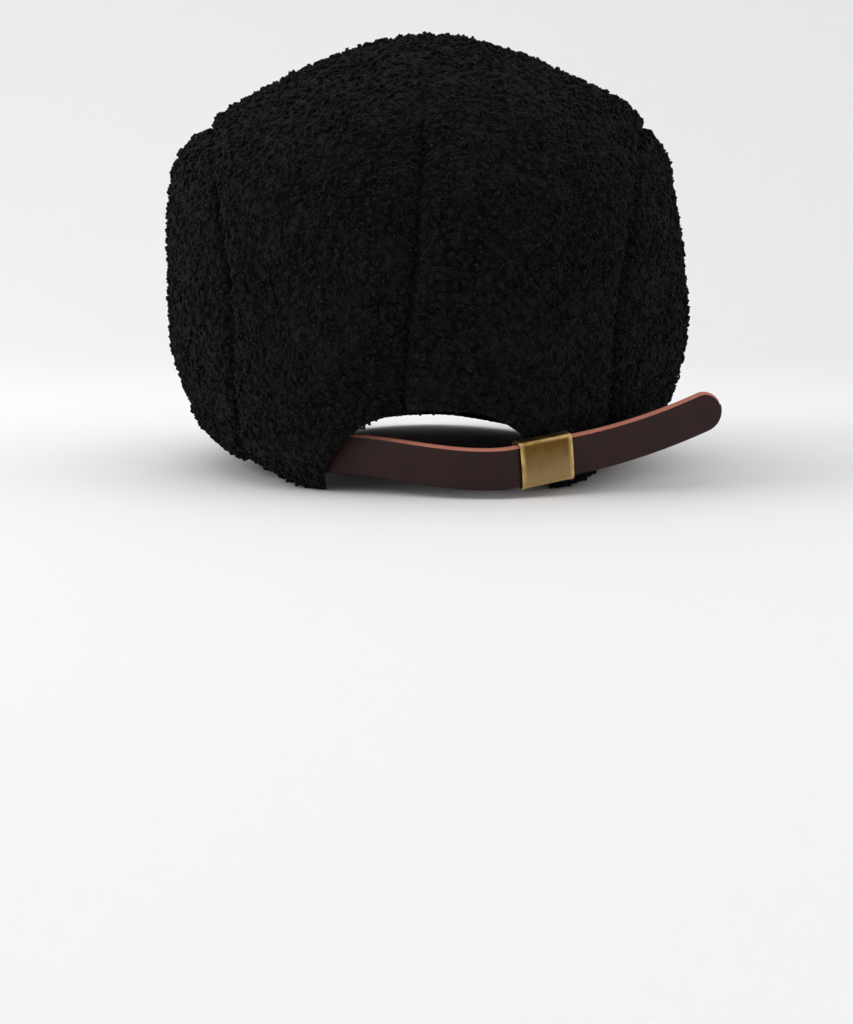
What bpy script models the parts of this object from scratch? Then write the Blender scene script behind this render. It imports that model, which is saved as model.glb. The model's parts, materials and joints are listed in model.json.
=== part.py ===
"""Boucle wool hunting cap with a short peak, an arched opening at the back and a leather strap in a brass slider.

Metres, +Z up. The cap rests on its hem at z = 0. Its back faces +Y, its peak -Y, and +X is the wearer's left.
A place on the crown is a turn, counted from the middle of the back towards +X, and a ring, 0 at the hem and
1 at the apex. A panel is cut out of a flat disc of those places, whose rim is the hem and whose centre is the apex.
"""

import math
from collections import namedtuple

import bmesh
import bpy
import numpy as np
from mathutils import Matrix

# Head opening and crown, outside sizes
HEAD_WIDTH = 0.158
HEAD_LENGTH = 0.196
CLOTH = 0.003
CROWN_HEIGHT = 0.167
SIDE_FULLNESS = 0.022
BACK_FULLNESS = 0.011
FRONT_FULLNESS = 0.003
APEX_BACK = 0.008
CROWN_SQUARENESS = 2.2
HEM_RISE = 0.0065
HEM_SEAT = math.radians(4.0)
HEM_RISE_SPAN = math.radians(23.0)
HEM_FALL_SPAN = 0.5

# Seams between the panels, and the dart at the back
PIECE_GAP = 0.0003
SEAM_DIP = 0.0014
SEAM_ROLL = 0.0035
SEAM_TWIST = math.radians(4.2)
PANEL_END = math.radians(1.2)
DART_RINGS = (0.44, 0.64)

# Arched opening at the back, whose two feet lie at different distances from the middle
ARCH_RISE = 0.031
ARCH_LEFT = 0.038
ARCH_RIGHT = 0.044
ARCH_POWER = 2.1

# Peak, which the crown's front laps over
PEAK_LENGTH = 0.050
PEAK_LAP = 0.022
PEAK_TURN = math.radians(64.0)
PEAK_ROUNDNESS = 0.42
PEAK_ARCH = 0.010
PEAK_THICKNESS = 0.0045
PEAK_TIP_THICKNESS = 0.0012
PEAK_DROP = 0.35
SEAT_GAP = 0.0009
HEM_FLAT_RING = 0.10

# Strap and slider
STRAP_WIDTH = 0.0145
STRAP_THICKNESS = 0.0024
STRAP_LEAN = math.radians(6.0)
STRAP_HEIGHT = 0.0126
STRAP_INSIDE_TURN = math.radians(58.0)
STRAP_CROSSING = (math.radians(17.0), math.radians(36.0))
FREE_END_LENGTH = 0.058
FREE_END_CURL = math.radians(-8.0)
FREE_END_CLIMB = math.radians(15.5)
SLIDER_TURN = math.radians(-21.5)
SLIDER_LENGTH = 0.0202
SLIDER_SHEET = 0.0007
SLIDER_BEVEL = 0.0005
SLIDER_CLIMB = math.radians(8.0)
STRAIGHT_BEYOND = 0.003
TAB_WIDTH = 0.012
TAB_THICKNESS = 0.0014
TAB_SEWN_LENGTH = 0.020
TAB_STUB = 0.0015

# Mesh fineness
SEAM_STATIONS = 43
END_CROWDING = 0.5
HEM_TO_SEAM = (0.0, 0.07, 0.18, 0.31, 0.45, 0.60, 0.74, 0.86, 0.95, 1.0)
HALF_ACROSS = (0.0, 0.04, 0.11, 0.20, 0.29, 0.37, 0.449, 0.51, 0.575, 0.63, 0.681, 0.74, 0.82, 0.91, 0.965, 1.0)
PEAK_STATIONS = 32
PEAK_REACHES = (0.0, 0.2, 0.45, 0.7, 0.9, 1.0)
STRAP_STEP = 0.006

# One row for each ring, from the hem up. from_hem and of_full are the shares of the hem's and of the fullest
# outline in the plan. up_side, up_back and up_front are the shares of the height between the hem and the apex.
Ring = namedtuple("Ring", "name from_hem of_full up_side up_back up_front")
RINGS = (
    Ring("hem", 1.00, 0.00, 0.000, 0.000, 0.000),
    Ring("turn", 0.69, 0.31, 0.036, 0.036, 0.030),
    Ring("low", 0.20, 0.80, 0.170, 0.160, 0.085),
    Ring("belly", 0.03, 0.97, 0.285, 0.280, 0.135),
    Ring("fullest", 0.00, 1.00, 0.460, 0.420, 0.190),
    Ring("upper", 0.00, 0.99, 0.610, 0.540, 0.260),
    Ring("shoulder", 0.00, 0.955, 0.710, 0.645, 0.330),
    Ring("corner", 0.00, 0.855, 0.780, 0.765, 0.480),
    Ring("slope", 0.00, 0.665, 0.860, 0.875, 0.650),
    Ring("crest", 0.00, 0.50, 0.908, 0.945, 0.780),
    Ring("near_apex", 0.00, 0.29, 0.960, 0.985, 0.900),
    Ring("apex", 0.00, 0.00, 1.000, 1.000, 1.000),
)

# One row for each point of the side panel's seam, from the hem at the back over the shoulder to the hem at the front.
SeamPoint = namedtuple("SeamPoint", "name turn_degrees ring")
SIDE_SEAM = (
    SeamPoint("back_hem", 53.0, 0.00),
    SeamPoint("back_low", 43.0, 0.12),
    SeamPoint("back_middle", 39.5, 0.27),
    SeamPoint("back_high", 43.5, 0.43),
    SeamPoint("back_shoulder", 51.5, 0.54),
    SeamPoint("back_corner", 66.0, 0.59),
    SeamPoint("top", 92.0, 0.595),
    SeamPoint("front_shoulder", 113.0, 0.54),
    SeamPoint("front_middle", 127.0, 0.38),
    SeamPoint("front_low", 134.0, 0.18),
    SeamPoint("front_hem", 137.0, 0.00),
)

# One row for each hollow (or, below zero, each swelling) that the soft cloth has fallen into. depth is a share of
# the crown's fullness at the sides.
Dent = namedtuple("Dent", "name turn_degrees ring depth half_turn_degrees half_ring")
DENTS = (
    Dent("right_waist", -92.0, 0.48, 0.31, 38.0, 0.14),
    Dent("right_shoulder", -75.0, 0.64, -0.12, 32.0, 0.07),
    Dent("left_back_fold", 28.0, 0.36, 0.10, 9.0, 0.10),
    Dent("left_back_swell", 14.0, 0.24, -0.055, 8.0, 0.08),
    Dent("right_back_fold", -27.0, 0.30, 0.08, 8.0, 0.12),
    Dent("front_left_fold", 155.0, 0.40, 0.11, 12.0, 0.10),
    Dent("front_right_fold", 204.0, 0.36, 0.09, 10.0, 0.12),
    Dent("top_hollow", 175.0, 0.80, 0.07, 60.0, 0.09),
)

HALF_WIDTH = HEAD_WIDTH / 2 + CLOTH
HALF_LENGTH = HEAD_LENGTH / 2 + CLOTH
COLUMNS = {name: np.array([getattr(ring, name) for ring in RINGS]) for name in Ring._fields[1:]}


def smooth_step(share):
    """0 below 0, 1 above 1 and a smooth rise between."""
    share = np.clip(share, 0.0, 1.0)
    return share * share * (3 - 2 * share)


def curve_through(at, values, wanted, level_end=False):
    """A cubic curve through the values, whose slope at each is the mean of its neighbours'."""
    slopes = np.gradient(values, at)
    if level_end:
        slopes[-1] = 0.0
    left = np.clip(np.searchsorted(at, wanted, side="right") - 1, 0, len(at) - 2)
    width = at[left + 1] - at[left]
    share = (wanted - at[left]) / width
    rest = 1 - share
    return (
        values[left] * (1 + 2 * share) * rest**2
        + slopes[left] * width * share * rest**2
        + values[left + 1] * (1 + 2 * rest) * share**2
        - slopes[left + 1] * width * rest * share**2
    )


def evenly(points, count, crowding=0.0):
    """Points at equal distances along a polyline, or drawn together towards its ends."""
    lengths = np.linalg.norm(np.diff(points, axis=0), axis=1)
    along = np.concatenate([[0.0], np.cumsum(lengths)])
    share = np.linspace(0.0, 1.0, count)
    wanted = along[-1] * (share + crowding * ((1 - np.cos(np.pi * share)) / 2 - share))
    return np.stack([np.interp(wanted, along, column) for column in points.T], axis=1)


def ring_places():
    """The ring, from 0 to 1, of each row of RINGS: its share of the way up the side of the crown."""
    out = COLUMNS["from_hem"] * HALF_WIDTH + COLUMNS["of_full"] * (HALF_WIDTH + SIDE_FULLNESS)
    steps = np.hypot(np.diff(out), np.diff(COLUMNS["up_side"]) * CROWN_HEIGHT)
    return np.concatenate([[0.0], np.cumsum(steps)]) / steps.sum()


RING_PLACES = ring_places()


def front_angle(turn):
    """How far a place lies from the middle of the front."""
    return np.pi - np.abs((turn + np.pi) % (2 * np.pi) - np.pi)


def peak_share(turn):
    """1 at the middle of the peak, falling smoothly to 0 at its two ends."""
    return np.cos(np.clip(front_angle(turn) / PEAK_TURN, 0.0, 1.0) * np.pi / 2) ** 2


def peak_height(turn, reach, on_top):
    """Height of the peak's underside or top, at a share of its reach from the head opening to its edge."""
    share = peak_share(turn)
    under = PEAK_ARCH * share * (1 - PEAK_DROP * reach)
    thickness = PEAK_TIP_THICKNESS + (PEAK_THICKNESS - PEAK_TIP_THICKNESS) * share
    return under + thickness * on_top


def arch_foot(turn):
    """How far from the middle the arch reaches the hem on this side."""
    return np.where(np.sin(turn) > 0, ARCH_LEFT, ARCH_RIGHT)


def arch_foot_turn(turn):
    return np.arcsin(arch_foot(turn) / HALF_WIDTH)


def hem_height(turn):
    """Height of the crown's hem: on the floor, a little above it over the ears, and on the peak's top at the front."""
    front = front_angle(turn)
    on_peak = smooth_step((PEAK_TURN * (1 + HEM_FALL_SPAN) - front) / (PEAK_TURN * HEM_FALL_SPAN))
    rise = HEM_RISE * smooth_step((np.pi - front - arch_foot_turn(turn) - HEM_SEAT) / HEM_RISE_SPAN)
    seat = peak_height(turn, PEAK_LAP / PEAK_LENGTH, 1.0) + SEAT_GAP
    return rise + (seat - rise) * on_peak


def hem_plan(turn):
    """The hem in the plan: an ellipse round the head, drawn forward over the peak at the front."""
    return np.stack(
        [HALF_WIDTH * np.sin(turn), HALF_LENGTH * np.cos(turn) - PEAK_LAP * peak_share(turn)], axis=-1
    )


def full_plan(turn):
    """The crown's fullest outline in the plan: a slightly squared ellipse, longer at the front."""
    power = 2 / CROWN_SQUARENESS
    sine, cosine = np.sin(turn), np.cos(turn)
    back, front = HALF_LENGTH + BACK_FULLNESS, HALF_LENGTH + PEAK_LAP + FRONT_FULLNESS
    return np.stack(
        [
            (HALF_WIDTH + SIDE_FULLNESS) * np.sign(sine) * np.abs(sine) ** power,
            np.where(cosine > 0, back, front) * np.sign(cosine) * np.abs(cosine) ** power,
        ],
        axis=-1,
    )


def arch_ring(turn):
    """The ring at which the arched opening cuts the wall off, 0 where it doesn't."""
    share = HALF_WIDTH * np.abs(np.sin(turn)) / arch_foot(turn)
    height = ARCH_RISE * (1 - np.clip(share, 0.0, 1.0) ** ARCH_POWER)
    height = np.where(np.cos(turn) > 0, height, 0.0)
    return np.interp(height / CROWN_HEIGHT, COLUMNS["up_back"], RING_PLACES)


def crown_point(turn, ring):
    """A point of the uncut crown: each ring is a blend of the hem and the fullest outline, lifted by its table row."""
    column = {
        name: curve_through(RING_PLACES, values, ring, level_end=name.startswith("up"))
        for name, values in COLUMNS.items()
    }
    of_full = column["of_full"]
    plan = hem_plan(turn) * column["from_hem"][..., None] + full_plan(turn) * of_full[..., None]
    inward = np.clip(1 - of_full - column["from_hem"], 0.0, 1.0)
    plan[..., 1] += APEX_BACK * inward**2
    outward = np.stack([np.sin(turn), np.cos(turn)], axis=-1)
    for dent in DENTS:
        off = (np.degrees(turn) - dent.turn_degrees + 180) % 360 - 180
        fall = np.exp(-((off / dent.half_turn_degrees) ** 2) - ((ring - dent.ring) / dent.half_ring) ** 2)
        plan -= outward * (dent.depth * SIDE_FULLNESS * fall)[..., None]
    toward = np.cos(turn) ** 2
    up_end = np.where(np.cos(turn) > 0, column["up_back"], column["up_front"])
    up = column["up_side"] + (up_end - column["up_side"]) * toward
    floor = hem_height(turn)
    return np.concatenate([plan, (floor + up * (CROWN_HEIGHT - floor))[..., None]], axis=-1)


def disc_place(across, along):
    """Turn and ring of a place on the pattern disc, with the seams' twist and the arch taken in."""
    radius = np.hypot(across, along)
    turn = np.arctan2(across, along)
    turn = turn + SEAM_TWIST * radius**2 * np.clip(np.cos(turn), 0.0, 1.0)
    cut = arch_ring(turn)
    return turn, cut + (1 - cut) * (1 - radius)


def disc_point(across, along):
    """The point of the crown's outside over a place on the pattern disc."""
    return crown_point(*disc_place(across, along))


def disc_normal(across, along):
    """The crown's outward direction there, level at the hem so that the cap rests on a flat edge."""
    step = 0.004
    over = disc_point(across + step, along) - disc_point(across - step, along)
    down = disc_point(across, along + step) - disc_point(across, along - step)
    normal = np.cross(over, down)
    ring = 1 - np.hypot(across, along)
    normal[..., 2] *= smooth_step(ring / HEM_FLAT_RING)
    return normal / np.linalg.norm(normal, axis=-1, keepdims=True)


def on_rim(turn):
    """The place on the pattern disc's rim at a turn."""
    return np.stack([np.sin(turn), np.cos(turn)], axis=-1)


def side_seam():
    """The left side seam on the pattern disc, its stations evenly spread over the cap but closer near the hem."""
    turn = np.radians([point.turn_degrees for point in SIDE_SEAM])
    radius = 1 - np.array([point.ring for point in SIDE_SEAM])
    corners = on_rim(turn) * radius[:, None]
    steps = np.linalg.norm(np.diff(corners, axis=0), axis=1)
    at = np.concatenate([[0.0], np.cumsum(steps)])
    fine = np.linspace(0.0, at[-1], 400)
    path = np.stack([curve_through(at, column, fine) for column in corners.T], axis=1)
    on_cap = disc_point(path[:, 0], path[:, 1])
    return evenly(np.concatenate([on_cap, path], axis=1), SEAM_STATIONS, END_CROWDING)[:, 3:]


def top_panel_places(seam, across):
    """A Coons patch on the disc, between the two side seams and the back and front stretches of the rim."""
    station = np.linspace(0.0, 1.0, len(seam))[:, None, None]
    share = (np.array(across)[None, :, None] + 1) / 2
    ends = np.arctan2(seam[[0, -1], 0], seam[[0, -1], 1])
    back = on_rim(ends[0] * np.array(across))[None]
    front_turn = np.pi - (np.pi - ends[1]) * np.array(across)
    front = on_rim(front_turn)[None]
    left, right = seam[:, None, :], (seam * [-1, 1])[:, None, :]
    bilinear = (1 - station) * ((1 - share) * right[0] + share * left[0]) + station * (
        (1 - share) * right[-1] + share * left[-1]
    )
    return (1 - station) * back + station * front + (1 - share) * right + share * left - bilinear


def side_panel_places(seam, side):
    """Straight lines on the disc from the rim to the seam. The panel comes to a point at both ends."""
    seam = seam * [side, 1]
    ends = np.arctan2(seam[[0, -1], 0], seam[[0, -1], 1]) % (2 * np.pi)
    trim = PANEL_END * side
    rim = on_rim(np.linspace(ends[0] + trim, ends[1] - trim, len(seam)))
    rise = np.array(HEM_TO_SEAM)[None, :, None]
    return (1 - rise) * rim[:, None, :] + rise * seam[:, None, :]


def distance_along_rows(points):
    """How far each point of a grid lies from the first one of its row, on the surface."""
    steps = np.linalg.norm(np.diff(points, axis=1), axis=2)
    return np.concatenate([np.zeros((len(points), 1)), np.cumsum(steps, axis=1)], axis=1)


def dip_at(distance):
    """How deep the cloth is drawn in at this distance from a line of stitches."""
    return SEAM_DIP * np.exp(-((distance / SEAM_ROLL) ** 2))


def step_back(points, edge, neighbour):
    """Moves a grid's edge column away from its seam, at right angles to it."""
    inward = points[:, neighbour] - points[:, edge]
    tangent = np.gradient(points[:, edge], axis=0)
    tangent /= np.linalg.norm(tangent, axis=1, keepdims=True)
    inward -= np.sum(inward * tangent, axis=1, keepdims=True) * tangent
    length = np.maximum(np.linalg.norm(inward, axis=1, keepdims=True), 1e-9)
    points[:, edge] += inward / length * np.minimum(PIECE_GAP * 0.8, length * 0.5)


def material(name, colour, roughness, metallic=0.0):
    made = bpy.data.materials.new(name)
    made.use_nodes = True
    shader = made.node_tree.nodes["Principled BSDF"]
    shader.inputs["Base Color"].default_value = (*colour, 1.0)
    shader.inputs["Roughness"].default_value = roughness
    shader.inputs["Metallic"].default_value = metallic
    return made


def new_object(name, points, faces, finish, collection):
    """A closed mesh object, its coinciding points merged and its faces turned outwards."""
    mesh = bpy.data.meshes.new(name)
    mesh.from_pydata(points.tolist(), [], faces.tolist())
    work = bmesh.new()
    work.from_mesh(mesh)
    bmesh.ops.remove_doubles(work, verts=work.verts, dist=2e-6)
    bmesh.ops.recalc_face_normals(work, faces=work.faces)
    work.to_mesh(mesh)
    work.free()
    mesh.shade_smooth()
    mesh.set_sharp_from_angle(angle=math.radians(45))
    mesh.materials.append(finish)
    made = bpy.data.objects.new(name, mesh)
    collection.objects.link(made)
    return made


def sheet_faces(rows, columns):
    """Faces of a closed sheet: an outer grid, an inner grid and the strips that join their edges."""
    index = np.arange(rows * columns).reshape(rows, columns)
    outer = np.stack([index[:-1, :-1], index[1:, :-1], index[1:, 1:], index[:-1, 1:]], axis=-1).reshape(-1, 4)
    inner = outer[:, ::-1] + rows * columns
    border = np.concatenate([index[:-1, 0], index[-1, :-1], index[:0:-1, -1], index[0, :0:-1]])
    following = np.roll(border, -1)
    rim = np.stack([border, border + rows * columns, following + rows * columns, following], axis=-1)
    return np.concatenate([outer, inner, rim])


def sheet_object(name, outer, inner, finish, collection):
    rows, columns = outer.shape[:2]
    points = np.concatenate([outer.reshape(-1, 3), inner.reshape(-1, 3)])
    return new_object(name, points, sheet_faces(rows, columns), finish, collection)


def cloth_panel(name, places, dip, seam_edges, finish, collection):
    """A wall of cloth over places on the pattern disc, drawn in along its seams."""
    points = disc_point(places[..., 0], places[..., 1])
    normals = disc_normal(places[..., 0], places[..., 1])
    outer = points - normals * dip(points, 1 - np.linalg.norm(places, axis=-1))[..., None]
    inner = points - normals * CLOTH
    for edge, neighbour in seam_edges:
        step_back(outer, edge, neighbour)
        step_back(inner, edge, neighbour)
    return sheet_object(name, outer, inner, finish, collection)


def build_top_panel(seam, finish, collection):
    """The long panel from the arch at the back over the top to the peak, with a dart up the back."""
    half = np.array(HALF_ACROSS)
    across = np.concatenate([-half[:0:-1], half])
    middle = len(half) - 1

    def dip(points, ring):
        along = distance_along_rows(points)
        to_seam = np.minimum(along, along[:, -1:] - along)
        to_dart = np.abs(along - along[:, middle : middle + 1])
        low, high = DART_RINGS
        at_back = (np.arange(len(points)) < len(points) / 2)[:, None]
        dart = (1 - smooth_step((ring - low) / (high - low))) * at_back
        return dip_at(to_seam) + dip_at(to_dart) * dart

    places = top_panel_places(seam, across)
    return cloth_panel("top_panel", places, dip, ((0, 1), (-1, -2)), finish, collection)


def build_side_panel(name, seam, side, finish, collection):
    """The side panel from the hem up to its seam with the top panel."""

    def dip(points, _ring):
        along = distance_along_rows(points)
        return dip_at(along[:, -1:] - along)

    places = side_panel_places(seam, side)
    return cloth_panel(name, places, dip, ((-1, -2),), finish, collection)


def build_peak(finish, collection):
    """The stiff crescent at the front, arched across and thinning to its two ends."""
    turn = np.pi + np.linspace(-PEAK_TURN, PEAK_TURN, PEAK_STATIONS)[:, None]
    reach = np.array(PEAK_REACHES)[None, :]
    opening = np.stack(
        [HEAD_WIDTH / 2 * np.sin(turn) + 0 * reach, HEAD_LENGTH / 2 * np.cos(turn) + 0 * reach], axis=-1
    )
    plan = opening.copy()
    plan[..., 1] -= PEAK_LENGTH * peak_share(turn) ** PEAK_ROUNDNESS * reach
    grid = {}
    for on_top in (0.0, 1.0):
        grid[on_top] = np.concatenate([plan, peak_height(turn, reach, on_top)[..., None]], axis=-1)
    middle = (grid[0.0] + grid[1.0]) / 2
    keep = np.where(reach > 0.95, 0.35, 1.0)[..., None]
    top = middle + (grid[1.0] - middle) * keep
    under = middle + (grid[0.0] - middle) * keep
    return sheet_object("peak", top, under, finish, collection)


def wall_plan_at(turn, height):
    """The plan of the crown's outside at a height near the hem, for each turn."""
    rings = np.linspace(0.0, 0.3, 40)
    spread = crown_point(np.repeat(turn[:, None], len(rings), axis=1), np.repeat(rings[None], len(turn), axis=0))
    return np.array(
        [[np.interp(height, row[:, 2], row[:, axis]) for axis in (0, 1)] for row in spread]
    )


def strap_frame(along, lean):
    """The strap's length, width and thickness directions, with its top edge leaning outwards."""
    flat = np.array([along[1], -along[0], 0.0])
    outward = flat / np.linalg.norm(flat)
    if outward[1] < 0:
        outward = -outward
    upward = np.cross(outward, along)
    upward *= np.sign(upward[2])
    width = math.cos(lean) * upward + math.sin(lean) * outward
    thickness = math.cos(lean) * outward - math.sin(lean) * upward
    return width, thickness


def slider_place():
    """Centre of the strap inside the slider and the direction towards the strap's free end."""
    around = np.array([SLIDER_TURN - 0.02, SLIDER_TURN, SLIDER_TURN + 0.02])
    half = STRAP_WIDTH / 2
    plan = wall_plan_at(around, STRAP_HEIGHT + half)
    level = (plan[0] - plan[2]) / np.linalg.norm(plan[0] - plan[2])
    outward = np.array([-level[1], level[0]])
    outward *= np.sign(outward[1])
    stack = 4 * PIECE_GAP + SLIDER_SHEET + TAB_THICKNESS + STRAP_THICKNESS / 2
    centre = plan[1] + outward * (stack - half * math.sin(STRAP_LEAN))
    along = np.array([*(level * math.cos(SLIDER_CLIMB)), math.sin(SLIDER_CLIMB)])
    return np.array([*centre, STRAP_HEIGHT]), along


def free_end_route(start, along):
    """From the slider outwards, curling round the cap a little and climbing more and more."""
    steps = int(FREE_END_LENGTH / STRAP_STEP)
    share = np.arange(steps + 1) / steps
    heading = math.atan2(along[1], along[0]) + FREE_END_CURL * share
    climb = SLIDER_CLIMB + FREE_END_CLIMB * share
    directions = np.stack(
        [np.cos(heading) * np.cos(climb), np.sin(heading) * np.cos(climb), np.sin(climb)], axis=1
    )
    walk = np.cumsum(directions[:-1] + directions[1:], axis=0) / 2 * (FREE_END_LENGTH / steps)
    return start + np.concatenate([np.zeros((1, 3)), walk])


def covered_route(start):
    """From the slider across the arch, then close to the inside of the wall on the wearer's left."""
    first, last = STRAP_CROSSING
    turn = np.concatenate([[first], np.linspace(last, STRAP_INSIDE_TURN, 4)])
    half = STRAP_WIDTH / 2
    height = STRAP_HEIGHT + 0.001
    low = wall_plan_at(turn, height - half)
    outward = low / np.linalg.norm(low, axis=1, keepdims=True)
    inset = CLOTH * 1.35 + PIECE_GAP + STRAP_THICKNESS / 2 - half * math.sin(STRAP_LEAN)
    inside = low - outward * inset
    return np.concatenate([inside[::-1], start[None, :2]]), height


def strap_route():
    """The strap's centre line, from its sewn end inside the cap to its free end, and where the slider sits."""
    centre, along = slider_place()
    half = along * (SLIDER_LENGTH / 2 + STRAIGHT_BEYOND)
    covered, height = covered_route(centre - half)
    straight = np.array([centre - half, centre, centre + half])
    knots = np.concatenate([np.column_stack([covered[:-1], np.full(len(covered) - 1, height)]), straight[:2]])
    at = np.concatenate([[0.0], np.cumsum(np.linalg.norm(np.diff(knots, axis=0), axis=1))])
    fine = np.linspace(0.0, at[-2], 200)
    first = np.stack([curve_through(at, column, fine) for column in knots.T], axis=1)
    count = int(at[-2] / STRAP_STEP)
    free = free_end_route(straight[2], along)
    inner = centre + np.array([-1.0, 0.0, 1.0])[:, None] * along * SLIDER_LENGTH / 2
    return np.concatenate([evenly(first, count), inner, free]), centre, along


def ribbon(name, route, width, thickness, round_end, finish, collection):
    """A strip of leather along a route, with its far end rounded off if round_end is set."""
    tangents = np.gradient(route, axis=0)
    tangents /= np.linalg.norm(tangents, axis=1, keepdims=True)
    frames = [strap_frame(tangent, STRAP_LEAN) for tangent in tangents]
    across = np.array([frame[0] for frame in frames])
    through = np.array([frame[1] for frame in frames])
    half = np.full(len(route), width / 2)
    if round_end:
        left = np.concatenate([np.cumsum(np.linalg.norm(np.diff(route[::-1], axis=0), axis=1))[::-1], [0.0]])
        inside = np.clip(left / (width / 2), 0.0, 1.0)
        half = np.maximum(width / 2 * np.sqrt(1 - (1 - inside) ** 2), width * 0.12)
    levels = np.array([-1.0, -0.88, 0.88, 1.0])
    thin = np.array([0.62, 1.0, 1.0, 0.62])
    middle = route[:, None] + across[:, None] * (half[:, None] * levels)[..., None]
    offset = through[:, None] * (thickness / 2 * thin)[None, :, None]
    return sheet_object(name, middle + offset, middle - offset, finish, collection)


def build_strap(finish, collection):
    route, centre, along = strap_route()
    rounding = STRAP_WIDTH / 2 * (1 - np.cos(np.linspace(0.0, np.pi / 2, 6)))
    left = np.concatenate([np.cumsum(np.linalg.norm(np.diff(route[::-1], axis=0), axis=1))[::-1], [0.0]])
    body = route[left > STRAP_WIDTH / 2]
    tip = np.stack(
        [np.interp(rounding[::-1], left[::-1], column[::-1]) for column in route.T], axis=1
    )
    route = np.concatenate([body, tip])
    ribbon("strap", route, STRAP_WIDTH, STRAP_THICKNESS, True, finish, collection)
    return centre, along


def placed(centre, along):
    """The matrix of a piece whose own X runs along the strap, Y through it and Z across it."""
    width, thickness = strap_frame(along, STRAP_LEAN)
    side = np.cross(width, along)
    side *= np.sign(side @ thickness)
    if np.cross(along, side) @ width < 0:
        along = -along
    matrix = np.eye(4)
    matrix[:3, 0], matrix[:3, 1], matrix[:3, 2], matrix[:3, 3] = along, side, width, centre
    return Matrix(matrix.tolist())


def build_slider(centre, along, finish, collection, cutters):
    """A flat brass sleeve round the strap and the tab."""
    width, thickness = strap_frame(along, STRAP_LEAN)
    depth = STRAP_THICKNESS + TAB_THICKNESS + 3 * PIECE_GAP
    height = STRAP_WIDTH + 2 * PIECE_GAP
    middle = centre - thickness * (TAB_THICKNESS + PIECE_GAP) / 2
    pieces = {}
    for name, grow, length, home in (
        ("slider", SLIDER_SHEET, SLIDER_LENGTH, collection),
        ("slider_bore", 0.0, SLIDER_LENGTH * 2, cutters),
    ):
        bpy.ops.mesh.primitive_cube_add(size=1.0)
        piece = bpy.context.active_object
        piece.name = name
        piece.data.transform(Matrix.Diagonal((length, depth + 2 * grow, height + 2 * grow, 1.0)))
        for holder in piece.users_collection:
            holder.objects.unlink(piece)
        home.objects.link(piece)
        piece.matrix_world = placed(middle, along)
        pieces[name] = piece
    slider, bore = pieces["slider"], pieces["slider_bore"]
    bevel = slider.modifiers.new("rounded_edges", "BEVEL")
    bevel.width = SLIDER_BEVEL
    bevel.segments = 2
    cut = slider.modifiers.new("bore", "BOOLEAN")
    cut.operation = "DIFFERENCE"
    cut.object = bore
    bore.hide_render = True
    bore.display_type = "WIRE"
    slider.data.materials.append(finish)


def build_tab(centre, along, finish, collection):
    """The short leather tab that ties the slider to the cap, sewn to the cloth behind the strap."""
    _, thickness = strap_frame(along, STRAP_LEAN)
    back = centre - thickness * ((STRAP_THICKNESS + TAB_THICKNESS) / 2 + PIECE_GAP)
    start = back - along * (SLIDER_LENGTH / 2 + TAB_STUB)
    end = back + along * SLIDER_LENGTH / 2
    near = wall_plan_at(np.array([SLIDER_TURN * 1.0, SLIDER_TURN * 1.75]), STRAP_HEIGHT + TAB_WIDTH / 2)
    level = (near[1] - near[0]) / np.linalg.norm(near[1] - near[0])
    bend = math.atan2(level[1], level[0]) - math.atan2(along[1], along[0])
    steps = 6
    share = np.arange(1, steps + 1) / steps
    heading = math.atan2(along[1], along[0]) + 1.5 * bend * share
    climb = math.asin(along[2])
    walk = np.stack([np.cos(heading), np.sin(heading), np.full(steps, math.tan(climb))], axis=1)
    sewn = end + np.cumsum(walk, axis=0) * (TAB_SEWN_LENGTH / steps)
    route = np.concatenate([np.linspace(start, end, 4), sewn])
    ribbon("slider_tab", route, TAB_WIDTH, TAB_THICKNESS, False, finish, collection)


def set_down(objects):
    """Moves everything so that the origin lies under the middle of the whole cap's box."""
    bpy.context.view_layer.update()
    graph = bpy.context.evaluated_depsgraph_get()
    corners = []
    for item in objects:
        mesh = item.evaluated_get(graph).to_mesh()
        points = np.empty(len(mesh.vertices) * 3, np.float32)
        mesh.vertices.foreach_get("co", points)
        world = np.array(item.matrix_world)
        corners.append(points.reshape(-1, 3) @ world[:3, :3].T + world[:3, 3])
    corners = np.concatenate(corners)
    middle = (corners.min(axis=0) + corners.max(axis=0)) / 2
    holder = bpy.data.objects.new("cap", None)
    bpy.context.scene.collection.objects.link(holder)
    for item in [*objects, *bpy.data.collections["cutters"].objects]:
        item.parent = holder
    holder.location = (-middle[0], -middle[1], 0.0)


def main():
    for item in list(bpy.data.objects):
        bpy.data.objects.remove(item, do_unlink=True)
    collection = bpy.data.collections.new("hunting_cap")
    cutters = bpy.data.collections.new("cutters")
    for made in (collection, cutters):
        bpy.context.scene.collection.children.link(made)
    boucle = material("black_boucle_wool", (0.010, 0.010, 0.011), 0.95)
    leather = material("dark_brown_leather", (0.030, 0.016, 0.014), 0.5)
    brass = material("antique_brass", (0.34, 0.25, 0.11), 0.35, 1.0)
    seam = side_seam()
    build_top_panel(seam, boucle, collection)
    build_side_panel("side_panel_left", seam, 1, boucle, collection)
    build_side_panel("side_panel_right", seam, -1, boucle, collection)
    build_peak(boucle, collection)
    centre, along = build_strap(leather, collection)
    build_slider(centre, along, brass, collection, cutters)
    build_tab(centre, along, leather, collection)
    set_down(list(collection.objects))


main()
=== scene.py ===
"""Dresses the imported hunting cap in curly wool, leather and brass, and sets it on a pale stage.

Metres, +Z up, in the part's own frame: the back of the cap faces +Y and +X is the wearer's left.
A place on the crown is a turn, counted from the middle of the back towards +X, and a ring, 0 at the hem and
1 at the apex. Panels are cut out of a flat disc of those places, whose rim is the hem and whose centre is the apex.
"""

import json
import math
from collections import namedtuple

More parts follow.
